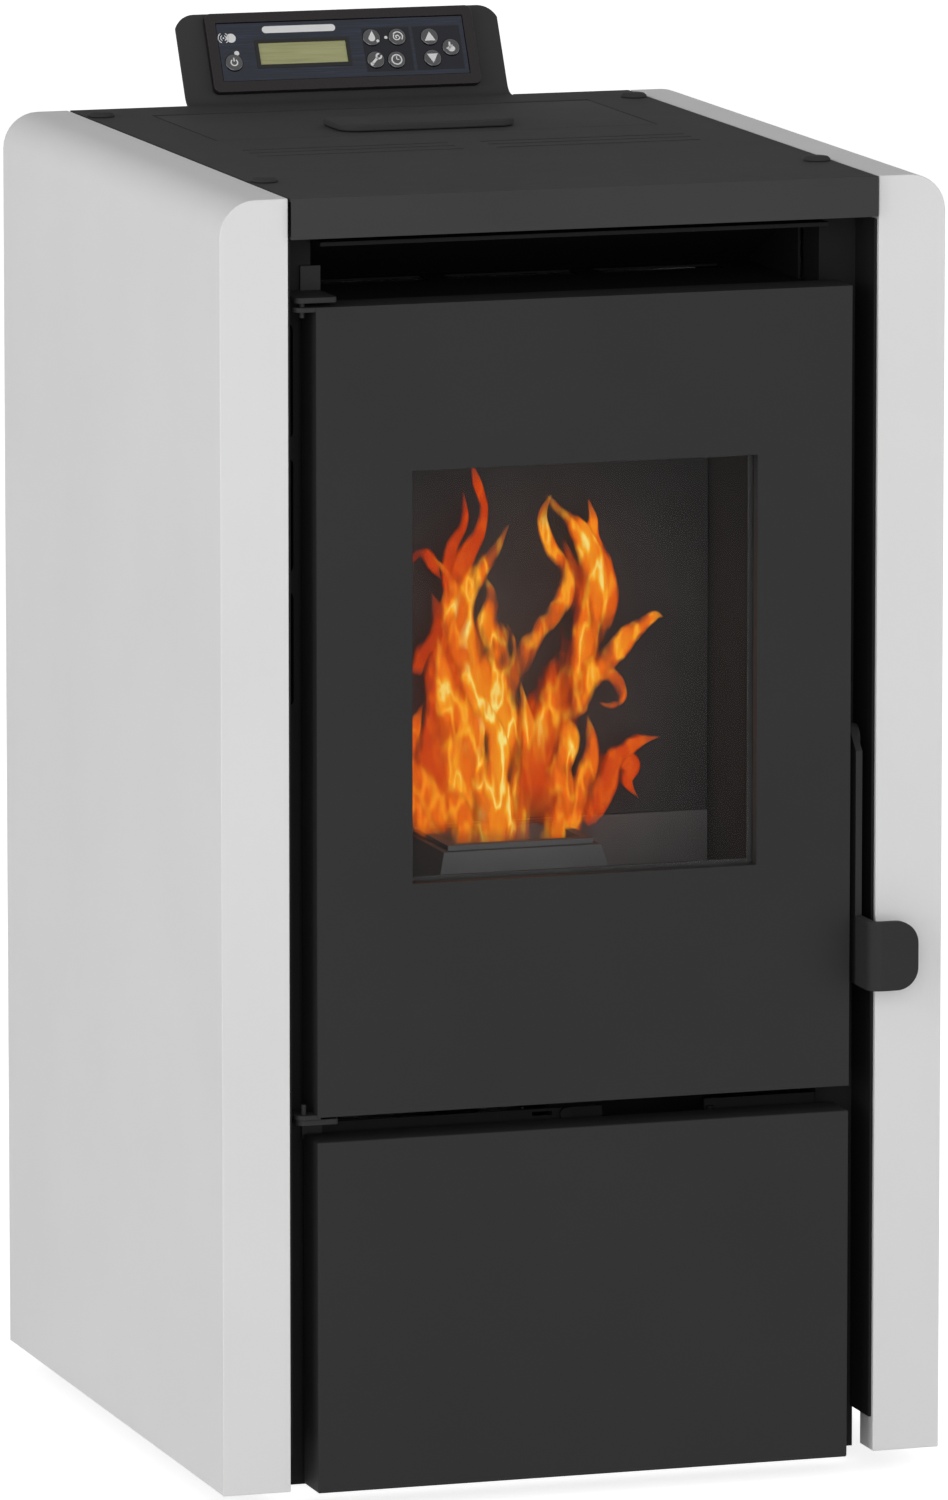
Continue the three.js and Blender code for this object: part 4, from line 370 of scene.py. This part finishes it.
for side in ("left", "right"):
    for row in ("front", "rear"):
        dress_list[f"top_screw_{row}_{side}"] = (TOP_COAT_PAINTED_SHEEN, 0.3)
        dress_list[f"foot_{row}_{side}"] = (BLACK_PLASTIC, 0.8)
for name, (material, edge_mm) in dress_list.items():
    dressed(name, material, edge_mm)
print("dressed nodes:", len(dress_list))

# %% [markdown]
# ## Nodes that keep their own mesh
# The parts inside show only when the door or the lid is open, and the window and the display's face are flat. The
# shape of all these is right as packed, so they get a material and no copy.

# %% Materials for the nodes that keep their own mesh
kept_nodes = {
    "frame_tub": GALVANISED,
    "door_liner": LINING,
    "door_glass": PANE,
    "door_gasket": ROPE,
    "ash_drawer": GALVANISED,
    "igniter": DRAWN_STEEL,
    "hopper": GALVANISED,
    "auger_tube": LINING,
    "auger_screw": DRAWN_STEEL,
    "auger_gear_motor": BLACK_PLASTIC,
    "flue_duct": LINING,
    "smoke_impeller": DRAWN_STEEL,
    "smoke_fan_motor": BLACK_PLASTIC,
    "room_blower_housing": GALVANISED,
    "room_blower_rotor": GALVANISED,
    "room_blower_motor": BLACK_PLASTIC,
    "control_board": CIRCUIT,
    "display_face": FILM,
    "display_screen": SCREEN,
}
for name, material in kept_nodes.items():
    nodes[name].data.materials.clear()
    nodes[name].data.materials.append(material)
print("kept nodes:", len(kept_nodes))

# %% [markdown]
# ## The display
# The display is a box of keys behind a navy film. All its details lie on one sloping plane, so they are drawn flat,
# in millimetres, on that plane and then turned into place by one matrix. The matrix is worked out from the
# packed face plate, so the details sit on it exactly.

# %% The display's plane
DISPLAY_LEAN = math.radians(28)
FACE_HEIGHT = 36.6 * MM
SCREEN_LOW, SCREEN_HIGH = 8.5, 24.8
SCREEN_SPAN = (-53.4, 3.4)
KEY_RISE = 0.8
face_low, face_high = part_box("display_face")
DISPLAY_PLANE = (Matrix.Translation((0, face_low.y, face_high.z - FACE_HEIGHT * math.cos(DISPLAY_LEAN)))
                 @ Matrix.Rotation(math.pi / 2 - DISPLAY_LEAN, 4, "X") @ Matrix.Scale(MM, 4))
print("lower edge of the face plate:", DISPLAY_PLANE.translation)


# %% [markdown]
# ## From a drawing to a piece
# A bmesh is only a drawing until it is written to a mesh and linked to the scene. Every new piece stays at the
# origin with its place in its mesh, so `new_piece` never moves the object. `finish_piece` then lays a flat drawing
# on the display's plane and can give it a wall with a Solidify modifier, which is simpler than extruding it.

# %% Piece helpers
def new_piece(shape, name, material):
    """Writes a finished bmesh to an object at the origin, with one material."""
    mesh = bpy.data.meshes.new(name)
    shape.to_mesh(mesh)
    shape.free()
    mesh.materials.append(material)
    piece = bpy.data.objects.new(name, mesh)
    bpy.context.scene.collection.objects.link(piece)
    return piece


def finish_piece(shape, name, material, body, thickness_mm=0.0, lift=0.0):
    """Turns a flat drawing in millimetres on the display's plane into a piece there, lifted and thickened."""
    for face in shape.faces:
        if face.normal.z < 0:
            face.normal_flip()
    if lift:
        bmesh.ops.translate(shape, verts=shape.verts, vec=(0, 0, lift))
    bmesh.ops.transform(shape, matrix=DISPLAY_PLANE, verts=shape.verts)
    piece = new_piece(shape, name, material)
    if thickness_mm:
        wall = piece.modifiers.new("thickness", "SOLIDIFY")
        wall.thickness = thickness_mm * MM
        wall.offset = 1
    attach(piece, body)
    return piece


# %% [markdown]
# ## Signs on the keys
# Each key wears a plain white sign. A sign is only a few strokes, so three small tools draw them all: a dot, a
# bar and an arc. The arc is a short edge spun round a centre, and the bar is a stretched square.

# %% Drawing tools
def dot(shape, x, v, radius, sides=20, turn=0.0):
    made = bmesh.ops.create_circle(shape, cap_ends=True, segments=sides, radius=radius)["verts"]
    bmesh.ops.rotate(shape, cent=(0, 0, 0), matrix=Matrix.Rotation(math.radians(turn), 3, "Z"), verts=made)
    bmesh.ops.translate(shape, vec=(x, v, 0), verts=made)
    return made


def bar(shape, start, end, width):
    along = Vector(end) - Vector(start)
    made = bmesh.ops.create_grid(shape, x_segments=1, y_segments=1, size=0.5)["verts"]
    bmesh.ops.scale(shape, vec=(along.length, width, 1), verts=made)
    bmesh.ops.rotate(shape, cent=(0, 0, 0), matrix=Matrix.Rotation(math.atan2(along.y, along.x), 3, "Z"), verts=made)
    middle = (Vector(start) + Vector(end)) / 2
    bmesh.ops.translate(shape, vec=(middle.x, middle.y, 0), verts=made)


def arc(shape, x, v, radius, start, sweep, width, steps=16):
    """An arc of the given width round (x, v); start and sweep are in degrees, anticlockwise from the right."""
    direction = Vector((math.cos(math.radians(start)), math.sin(math.radians(start)), 0))
    centre = Vector((x, v, 0))
    inner = shape.verts.new(centre + direction * (radius - width / 2))
    outer = shape.verts.new(centre + direction * (radius + width / 2))
    edge = shape.edges.new((inner, outer))
    bmesh.ops.spin(shape, geom=[inner, outer, edge], cent=centre, axis=(0, 0, 1), angle=math.radians(sweep),
                   steps=steps, use_merge=False)


# %% [markdown]
# ## White print
# The signs and the bare label above the screen are white ink on the film. Ink is never perfectly even, so its
# sheen varies and its surface has a faint grain.

# %% White print material and the eight signs
WHITE_PRINT = moulded("white_print", grey(226), 0.45, 400.0, 0.00001)


def power_sign(shape, x, v):
    arc(shape, x, v, 2.0, 125, 290, 0.75)
    bar(shape, (x, v + 0.6), (x, v + 3.0), 0.75)


def flame_sign(shape, x, v):
    drop = dot(shape, x, v - 0.6, 2.1, sides=18)
    for vertex in drop:
        rise = max(0.0, vertex.co.y - (v - 0.6)) / 2.1
        vertex.co.y += 2.6 * rise ** 2
        vertex.co.x = x + (vertex.co.x - x) * (1 - 0.75 * rise ** 2) + 0.5 * rise
    dot(shape, x + 3.5, v - 2.5, 0.9)


def spiral_sign(shape, x, v):
    arc(shape, x, v, 0.9, 0, 250, 0.7)
    arc(shape, x - 0.4, v, 2.0, 0, -220, 0.7)
    arc(shape, x + 0.2, v, 3.0, 150, -190, 0.7)


def up_sign(shape, x, v):
    dot(shape, x, v - 0.7, 3.9, sides=3)


def down_sign(shape, x, v):
    dot(shape, x, v + 0.7, 3.9, sides=3, turn=180)


def wrench_sign(shape, x, v):
    bar(shape, (x - 2.6, v - 2.6), (x + 1.3, v + 1.3), 1.5)
    arc(shape, x + 2.0, v + 2.0, 1.5, 75, 300, 1.1)
    dot(shape, x - 2.7, v - 2.7, 1.1)


def clock_sign(shape, x, v):
    arc(shape, x, v, 3.0, 0, 360, 0.8, steps=28)
    bar(shape, (x, v), (x, v + 2.0), 0.6)
    bar(shape, (x, v), (x + 1.5, v), 0.6)


def hand_sign(shape, x, v):
    palm = dot(shape, x, v - 1.2, 2.3, sides=16)
    bmesh.ops.scale(shape, vec=(1, 0.85, 1), verts=palm, space=Matrix.Translation((-x, -v, 0)))
    bar(shape, (x - 0.8, v - 1.0), (x - 0.8, v + 3.4), 1.1)
    bar(shape, (x + 0.5, v), (x + 0.5, v + 1.4), 1.1)
    bar(shape, (x - 2.9, v - 0.4), (x - 1.4, v - 1.6), 1.0)


signs = {
    "key_power": ((-68.7, 11.6), power_sign),
    "key_flame": ((18.5, 24.6), flame_sign),
    "key_spiral": ((34.5, 24.4), spiral_sign),
    "key_up": ((54.6, 23.8), up_sign),
    "key_wrench": ((19.2, 10.3), wrench_sign),
    "key_clock": ((32.1, 9.8), clock_sign),
    "key_down": ((54.7, 10.1), down_sign),
    "key_hand": ((67.1, 16.6), hand_sign),
}

# %% [markdown]
# ## Key caps
# A key is a low round cap of clear-coated film over a switch. A cap is turned like work on a lathe: its profile
# is a short line from the middle to the rim and down the side, spun once round, and the coat on it is glossy.

# %% Key caps
KEY_RADIUS = 5.4
KEY_DEPTH = 2.6


def key_cap_material():
    material, tree, shader = new_material("key_cap", rgb(16, 17, 22), 0.28)
    cloud = noise(tree, 260.0, 2.0)
    tree.links.new(ramp(tree, cloud, (0.3, rgb(13, 14, 19)), (0.7, rgb(24, 26, 34))), shader.inputs["Base Color"])
    shader.inputs["Coat Weight"].default_value = 1.0
    shader.inputs["Coat Roughness"].default_value = 0.06
    return material


KEY_CAP = key_cap_material()


def key_cap(name, x, v):
    shape = bmesh.new()
    profile = [(0, KEY_RISE), (KEY_RADIUS - 1.1, KEY_RISE), (KEY_RADIUS - 0.45, KEY_RISE - 0.08),
               (KEY_RADIUS - 0.12, KEY_RISE - 0.3), (KEY_RADIUS, KEY_RISE - 0.6), (KEY_RADIUS, -KEY_DEPTH),
               (0, -KEY_DEPTH)]
    verts = [shape.verts.new((radius, 0, height)) for radius, height in profile]
    edges = [shape.edges.new(pair) for pair in zip(verts, verts[1:])]
    bmesh.ops.spin(shape, geom=verts + edges, cent=(0, 0, 0), axis=(0, 0, 1), angle=math.tau, steps=32,
                   use_merge=True)
    bmesh.ops.remove_doubles(shape, verts=shape.verts, dist=0.01)
    bmesh.ops.recalc_face_normals(shape, faces=shape.faces)
    for face in shape.faces:
        face.smooth = abs(face.normal.z) < 0.999
    bmesh.ops.translate(shape, vec=(x, v, 0), verts=shape.verts)
    bmesh.ops.transform(shape, matrix=DISPLAY_PLANE, verts=shape.verts)
    piece = new_piece(shape, name + "_cap", KEY_CAP)
    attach(piece, body_of_node[name])
    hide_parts(name)
    return piece


for key_name, ((x, v), draw) in signs.items():
    key_cap(key_name, x, v)
    drawing = bmesh.new()
    draw(drawing, x, v)
    finish_piece(drawing, key_name.replace("key", "sign"), WHITE_PRINT, body_of_node[key_name],
                 thickness_mm=0.06, lift=KEY_RISE)
print("key caps and signs:", len(signs))

# %% [markdown]
# ## The rest of the face
# The screen sits behind a dark rim. Above it is a bare white label, and at the left end are the eye for the
# remote control, a wave sign and a small lamp. Two darker fields lie round the keys. Each has a round opening for
# every key, so that a pressed key goes down through it: its outline and circles are edges, filled in between.

# %% Screen rim, label, eye and lamp
STOVE = body_of_node["display_face"]
RIM_OUTSIDE = 1.0
RIM_WIDTH = 1.3
LABEL_SPAN, LABEL_MIDDLE, LABEL_HEIGHT = (-48.5, -3.0), 32.0, 4.4

rim = bmesh.new()
middle_x = sum(SCREEN_SPAN) / 2
middle_v = (SCREEN_LOW + SCREEN_HIGH) / 2
bmesh.ops.create_grid(rim, x_segments=1, y_segments=1, size=0.5)
rim_size = (SCREEN_SPAN[1] - SCREEN_SPAN[0] + 2 * RIM_OUTSIDE, SCREEN_HIGH - SCREEN_LOW + 2 * RIM_OUTSIDE, 1)
bmesh.ops.scale(rim, vec=rim_size, verts=rim.verts)
bmesh.ops.translate(rim, vec=(middle_x, middle_v, 0), verts=rim.verts)
bmesh.ops.inset_region(rim, faces=rim.faces[:], thickness=RIM_WIDTH + RIM_OUTSIDE, use_even_offset=True,
                       use_boundary=True)
centre_face = min(rim.faces, key=lambda face: (face.calc_center_median() - Vector((middle_x, middle_v, 0))).length)
bmesh.ops.delete(rim, geom=[centre_face], context="FACES")
finish_piece(rim, "screen_rim", BLACK_PLASTIC, STOVE, thickness_mm=0.25)

label = bmesh.new()
half_height = LABEL_HEIGHT / 2
bar(label, (LABEL_SPAN[0] + half_height, LABEL_MIDDLE), (LABEL_SPAN[1] - half_height, LABEL_MIDDLE), LABEL_HEIGHT)
arc(label, LABEL_SPAN[0] + half_height, LABEL_MIDDLE, half_height / 2, 90, 180, half_height)
arc(label, LABEL_SPAN[1] - half_height, LABEL_MIDDLE, half_height / 2, -90, 180, half_height)
finish_piece(label, "bare_label", WHITE_PRINT, STOVE, thickness_mm=0.05)

marks = bmesh.new()
dot(marks, -68.3, 27.4, 2.9, sides=28)
for reach in (1.7, 3.2):
    arc(marks, -73.0, 27.6, reach, 115, 130, 0.5)
    arc(marks, -73.0, 27.6, reach, -65, 130, 0.5)
dot(marks, -73.0, 27.6, 0.55)
dot(marks, 27.6, 24.4, 1.0)
finish_piece(marks, "remote_eye_and_wave_sign", WHITE_PRINT, STOVE, thickness_mm=0.05)

FIELD = moulded("dark_field", rgb(22, 23, 30), 0.42, 600.0, 0.00001)
FIELD_MIDDLE, FIELD_HEIGHT = 16.8, 28.0
KEY_GAP = 0.25
for field_name, start, end in (("key_field_left", 13.0, 42.5), ("key_field_right", 44.5, 74.0)):
    field = bmesh.new()
    bar(field, (start, FIELD_MIDDLE), (end, FIELD_MIDDLE), FIELD_HEIGHT)
    bmesh.ops.delete(field, geom=field.faces[:], context="FACES_ONLY")
    for (x, v), _ in signs.values():
        if start < x < end:
            made = bmesh.ops.create_circle(field, cap_ends=False, segments=32, radius=KEY_RADIUS + KEY_GAP)["verts"]
            bmesh.ops.translate(field, vec=(x, v, 0), verts=made)
    bmesh.ops.triangle_fill(field, edges=field.edges[:], use_beauty=True, use_dissolve=False, normal=(0, 0, 1))
    finish_piece(field, field_name, FIELD, STOVE, thickness_mm=0.02)

lamp = bmesh.new()
dot(lamp, -66.2, 17.6, 1.5, sides=20)
finish_piece(lamp, "lamp_lens", WHITE_PRINT, STOVE, thickness_mm=0.3)
print("face details made")

# %% [markdown]
# ## The fire
# Flames are glowing gas with no skin, so they could be a volume, a cloud of particles or thin sheets. A volume
# is slow and soft, and the real flames show crisp tongues, so each tongue here is one thin curved ribbon that
# follows a given line and tapers to a point. The ribbon keeps how far across and along each corner is, and
# its warmth, and the material reads those values to fade the edges and to choose the colour.

# %% The ribbons' lines
# Each tongue: how far behind the pot's middle it stands, its warmth from 0 to 1, and its line as
# (distance to the right of the middle, height above the pot's rim, half the width), in millimetres.
TONGUES = {
    "left_foot": (-14, 0.75, [(-28, -4, 11), (-36, 16, 14), (-50, 34, 12), (-62, 48, 7), (-70, 66, 0)]),
    "left_low": (8, 0.6, [(-34, 0, 14), (-50, 20, 15), (-58, 44, 10), (-52, 62, 6), (-46, 78, 0)]),
    "left_middle": (-6, 0.85, [(-22, 2, 10), (-27, 30, 13), (-26, 60, 15), (-34, 84, 11), (-41, 104, 6),
                            (-44, 122, 0)]),
    "left_stem": (0, 0.9, [(-14, 0, 10), (-13, 28, 12), (-20, 56, 11), (-14, 84, 13), (-22, 110, 13), (-26, 134, 12),
                           (-16, 152, 9), (-6, 166, 5), (2, 181, 0)]),
    "left_fork": (-10, 0.7, [(-24, 96, 7), (-33, 116, 10), (-31, 136, 8), (-37, 154, 4), (-47, 166, 0)]),
    "tall_wisp": (6, 0.3, [(-25, 140, 6), (-21, 158, 7), (-12, 174, 5), (-10, 190, 4), (-14, 204, 3), (-19, 218, 0)]),
    "second_wisp": (12, 0.25, [(-22, 120, 7), (-28, 144, 6), (-27, 164, 5), (-20, 182, 4), (-22, 200, 0)]),
    "pot_bright": (-16, 1.0, [(-12, -6, 12), (-10, 14, 15), (-14, 34, 13), (-8, 52, 9), (-12, 70, 5), (-16, 84, 0)]),
    "centre_low": (-4, 0.95, [(8, -6, 9), (6, 20, 10), (8, 44, 8), (12, 66, 6), (9, 90, 0)]),
    "centre_body": (4, 0.95, [(0, 30, 8), (4, 56, 10), (0, 80, 12), (1, 102, 13), (-5, 120, 10), (-4, 136, 6),
                              (-10, 150, 0)]),
    "centre_arc": (-8, 0.8, [(4, 92, 8), (13, 112, 9), (25, 124, 8), (35, 137, 7), (36, 154, 6), (27, 168, 5),
                             (22, 184, 3), (26, 198, 0)]),
    "right_stem": (-2, 0.9, [(20, 40, 6), (26, 62, 10), (34, 82, 12), (42, 102, 14), (52, 120, 13), (57, 140, 10),
                             (54, 160, 9), (44, 176, 7), (33, 188, 4), (25, 197, 0)]),
    "right_crown": (4, 0.6, [(58, 118, 9), (65, 134, 7), (62, 152, 7), (56, 168, 6), (57, 180, 3), (53, 192, 0)]),
    "right_hook": (-12, 0.85, [(30, 66, 9), (44, 80, 11), (56, 96, 11), (68, 108, 9), (77, 118, 6), (87, 125, 4),
                               (92, 124, 0)]),
    "right_curl": (-6, 0.75, [(46, 92, 7), (58, 92, 7), (67, 86, 6), (69, 77, 5), (62, 73, 4), (53, 76, 0)]),
    "right_low": (-10, 0.9, [(26, -6, 11), (30, 16, 12), (28, 38, 10), (36, 56, 9), (33, 74, 0)]),
    "right_lean": (2, 0.75, [(40, -6, 11), (42, 14, 13), (50, 32, 10), (54, 48, 7), (52, 66, 0)]),
    "right_sweep": (8, 0.4, [(30, -4, 16), (46, 8, 16), (60, 22, 12), (70, 40, 8), (84, 48, 5), (98, 50, 0)]),
    "right_wisp": (10, 0.3, [(58, 34, 5), (70, 38, 7), (82, 34, 7), (80, 24, 4), (86, 14, 0)]),
    "back_glow_left": (20, 0.35, [(-24, 0, 22), (-30, 40, 22), (-26, 80, 20), (-30, 116, 12), (-38, 140, 0)]),
    "back_glow_right": (20, 0.35, [(28, 0, 24), (32, 36, 22), (40, 76, 20), (52, 112, 16), (50, 142, 10),
                                (42, 168, 0)]),
    "small_left_wisp": (14, 0.2, [(-48, 92, 5), (-44, 106, 5), (-36, 116, 4), (-38, 130, 0)]),
    "upper_left_wisp": (14, 0.2, [(-52, 158, 4), (-46, 164, 5), (-40, 158, 5), (-34, 148, 0)]),
}
print("tongues of flame:", len(TONGUES))


# %% [markdown]
# ## What a flame is made of
# Warmth decides the colour: deep orange at the thin edges, then yellow, and pale yellow in the core. A stretched
# noise breaks each tongue into rising threads. The shader mixes a clear surface with a glowing one, and it is
# clear where the flame is thin. The attribute is not called heat, because Cycles keeps that name for smoke.

# %% Flame material
FLAME_COLOURS = ((0.0, rgb(140, 26, 0)), (0.22, rgb(204, 66, 2)), (0.48, rgb(240, 112, 6)), (0.78, rgb(255, 170, 28)),
                 (0.98, rgb(255, 228, 126)))


def math_node(tree, operation, first, second=None, clamp=False):
    made = tree.nodes.new("ShaderNodeMath")
    made.operation = operation
    made.use_clamp = clamp
    for socket, value in zip(made.inputs, (first, second)):
        if value is None:
            continue
        if isinstance(value, (int, float)):
            socket.default_value = value
        else:
            tree.links.new(value, socket)
    return made.outputs[0]


def flame_material():
    material = bpy.data.materials.new("flame")
    material.use_nodes = True
    tree = material.node_tree
    tree.nodes.remove(tree.nodes["Principled BSDF"])
    across = node(tree, "ShaderNodeAttribute", attribute_name="across").outputs["Fac"]
    along = node(tree, "ShaderNodeAttribute", attribute_name="along").outputs["Fac"]
    warmth = node(tree, "ShaderNodeAttribute", attribute_name="warmth").outputs["Fac"]
    core = math_node(tree, "SUBTRACT", 1.0, math_node(tree, "MULTIPLY", across, across))
    threads = noise(tree, 70.0, 3.0, (1, 1, 0.32))
    wisps = noise(tree, 105.0, 2.0, (1, 1, 0.3))
    uneven = math_node(tree, "SUBTRACT", threads, 0.5)
    density = math_node(tree, "ADD", core, math_node(tree, "MULTIPLY", uneven, 2.6))
    tip = math_node(tree, "MULTIPLY", math_node(tree, "SUBTRACT", 1.0, along), 5.0, clamp=True)
    foot = math_node(tree, "MULTIPLY", along, 7.0, clamp=True)
    ends = math_node(tree, "MULTIPLY", tip, foot)
    cover = math_node(tree, "MULTIPLY", math_node(tree, "SUBTRACT", density, 0.34), 1.9, clamp=True)
    alpha = math_node(tree, "MULTIPLY", cover, ends)
    off_line = math_node(tree, "MULTIPLY", math_node(tree, "ABSOLUTE", math_node(tree, "SUBTRACT", wisps, 0.5)), 11.0)
    bright_line = math_node(tree, "SUBTRACT", 1.0, off_line, clamp=True)
    body = math_node(tree, "ADD", math_node(tree, "MULTIPLY", core, 0.38), math_node(tree, "MULTIPLY", uneven, 1.1))
    light = math_node(tree, "ADD", body, math_node(tree, "MULTIPLY", bright_line, 0.4))
    shade = math_node(tree, "MULTIPLY", math_node(tree, "ADD", light, 0.2), warmth)
    colour = ramp(tree, shade, *FLAME_COLOURS)
    glow = node(tree, "ShaderNodeEmission", Strength=1.0)
    tree.links.new(colour, glow.inputs["Color"])
    clear = node(tree, "ShaderNodeBsdfTransparent")
    mix = node(tree, "ShaderNodeMixShader")
    tree.links.new(alpha, mix.inputs["Fac"])
    tree.links.new(clear.outputs["BSDF"], mix.inputs[1])
    tree.links.new(glow.outputs["Emission"], mix.inputs[2])
    tree.links.new(mix.outputs["Shader"], tree.nodes["Material Output"].inputs["Surface"])
    return material


FLAME = flame_material()

# %% [markdown]
# ## Bending the ribbons
# A ribbon starts as a flat grid. Each corner is moved to its place along and across the tongue's line, which a
# smooth curve draws through the few points above. The flames belong to the burning pellets, so they ride on the
# pot and rise with it when it is lifted out.

# %% Bend a flat grid along each tongue's line
ACROSS_STEPS = 10
ALONG_STEPS = 40
CURVE_DEPTH = 5.0
WAVE_DEPTH = 3.0
WAVE_TURNS = 5
pot_low, pot_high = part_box("burn_pot")
POT_MIDDLE = Vector(((pot_low.x + pot_high.x) / 2, (pot_low.y + pot_high.y) / 2, pot_high.z))


def smooth_line(points, share):
    """A place on a smooth curve through the points (Catmull-Rom), for a share from 0 to 1 of the way."""
    reach = share * (len(points) - 1)
    index = min(int(reach), len(points) - 2)
    t = reach - index
    before, start, end, after = (Vector(points[min(max(i, 0), len(points) - 1)]) for i in range(index - 1, index + 3))
    return 0.5 * (2 * start + (end - before) * t + (2 * before - 5 * start + 4 * end - after) * t ** 2
                  + (3 * start - before - 3 * end + after) * t ** 3)


def tongue(name, depth, warmth, points):
    shape = bmesh.new()
    across_layer = shape.verts.layers.float.new("across")
    along_layer = shape.verts.layers.float.new("along")
    warmth_layer = shape.verts.layers.float.new("warmth")
    bmesh.ops.create_grid(shape, x_segments=ACROSS_STEPS, y_segments=ALONG_STEPS, size=1)
    for vertex in shape.verts:
        across, along = vertex.co.x, (vertex.co.y + 1) / 2
        here = smooth_line(points, along)
        step = smooth_line(points, min(along + 0.01, 1)) - smooth_line(points, max(along - 0.01, 0))
        side = Vector((step.y, -step.x)).normalized()
        half_width = max(here.z, 0.05)
        x = here.x + side.x * across * half_width
        z = here.y + side.y * across * half_width
        y = depth + CURVE_DEPTH * (across * across - 0.5) + WAVE_DEPTH * math.sin(WAVE_TURNS * along + depth)
        vertex[across_layer], vertex[along_layer], vertex[warmth_layer] = across, along, warmth
        vertex.co = POT_MIDDLE + Vector((x, y, z)) * MM
    for face in shape.faces:
        face.smooth = True
    bmesh.ops.recalc_face_normals(shape, faces=shape.faces)
    piece = new_piece(shape, "flame_" + name, FLAME)
    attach(piece, body_of_node["burn_pot"])
    return piece


for tongue_name, (depth, warmth, points) in TONGUES.items():
    tongue(tongue_name, depth, warmth, points)
print("flames stand on the pot at", tuple(round(value, 4) for value in POT_MIDDLE))

# %% [markdown]
# ## Floor, world and lamps
# The stove stands on a plain pale floor in soft white light. The light comes mostly from the sides, as from
# tall white screens, and less from above. The camera and the glossy surfaces see plain white round it.

# %% Floor
FLOOR_HALF = 30.0
FLOOR_GLOW = 0.75


def sees_white(tree):
    """1 for the rays that show the surroundings themselves: from the camera, in a gloss and through glass."""
    seen = node(tree, "ShaderNodeLightPath")
    gloss_or_glass = math_node(tree, "MAXIMUM", seen.outputs["Is Glossy Ray"], seen.outputs["Is Transmission Ray"])
    return math_node(tree, "MAXIMUM", seen.outputs["Is Camera Ray"], gloss_or_glass)


def floor_material():
    material, tree, shader = new_material("pale_floor", grey(236), 0.9)
    tree.links.new(ramp(tree, noise(tree, 1.5, 2.0), (0.3, grey(234)), (0.7, grey(238))), shader.inputs["Base Color"])
    shader.inputs["Specular IOR Level"].default_value = 0.1
    white = node(tree, "ShaderNodeEmission", Color=(1, 1, 1, 1))
    tree.links.new(math_node(tree, "MULTIPLY", sees_white(tree), FLOOR_GLOW), white.inputs["Strength"])
    both = node(tree, "ShaderNodeAddShader")
    tree.links.new(shader.outputs["BSDF"], both.inputs[0])
    tree.links.new(white.outputs["Emission"], both.inputs[1])
    tree.links.new(both.outputs["Shader"], tree.nodes["Material Output"].inputs["Surface"])
    return material


floor_shape = bmesh.new()
bmesh.ops.create_grid(floor_shape, x_segments=2, y_segments=2, size=FLOOR_HALF)
bmesh.ops.translate(floor_shape, vec=(0, 0, FLOOR_Z), verts=floor_shape.verts)
new_piece(floor_shape, "floor", floor_material())
print("floor at", round(FLOOR_Z, 4))

# %% [markdown]
# ## World and lamps
# The world is bright near the horizon and dimmer above, like a room of white screens. Three large softboxes add
# the direction: one in front, one at the left and a weaker one at the right, as the photograph's shading shows.

# %% World and lamps
world = bpy.data.worlds.new("white_studio")
bpy.context.scene.world = world
world.use_nodes = True
world_tree = world.node_tree
backdrop = world_tree.nodes["Background"]
sky_place = node(world_tree, "ShaderNodeTexCoord")
sky_height = node(world_tree, "ShaderNodeSeparateXYZ")
world_tree.links.new(sky_place.outputs["Generated"], sky_height.inputs["Vector"])
sky = ramp(world_tree, sky_height.outputs["Z"], (0.0, (1, 1, 1, 1)), (0.3, (0.6, 0.6, 0.6, 1)),
           (1.0, (0.14, 0.14, 0.14, 1)))
sky_mix = node(world_tree, "ShaderNodeMixRGB")
sky_mix.inputs["Color2"].default_value = (1, 1, 1, 1)
world_tree.links.new(sees_white(world_tree), sky_mix.inputs["Fac"])
world_tree.links.new(sky, sky_mix.inputs["Color1"])
world_tree.links.new(sky_mix.outputs["Color"], backdrop.inputs["Color"])


def softbox(name, place, watts, size):
    data = bpy.data.lights.new(name, "AREA")
    data.energy = watts
    data.size = size
    lamp = bpy.data.objects.new(name, data)
    lamp.location = place
    lamp.rotation_euler = (Vector((0, 0, 0.4)) - Vector(place)).to_track_quat("-Z", "Y").to_euler()
    bpy.context.scene.collection.objects.link(lamp)


softbox("front_softbox", (-0.6, -4.0, 1.2), 54, 2.5)
softbox("left_softbox", (-4.0, -1.2, 1.2), 52, 2.5)
softbox("right_softbox", (3.6, -2.6, 1.4), 16, 2.5)
print("lamps and world ready")
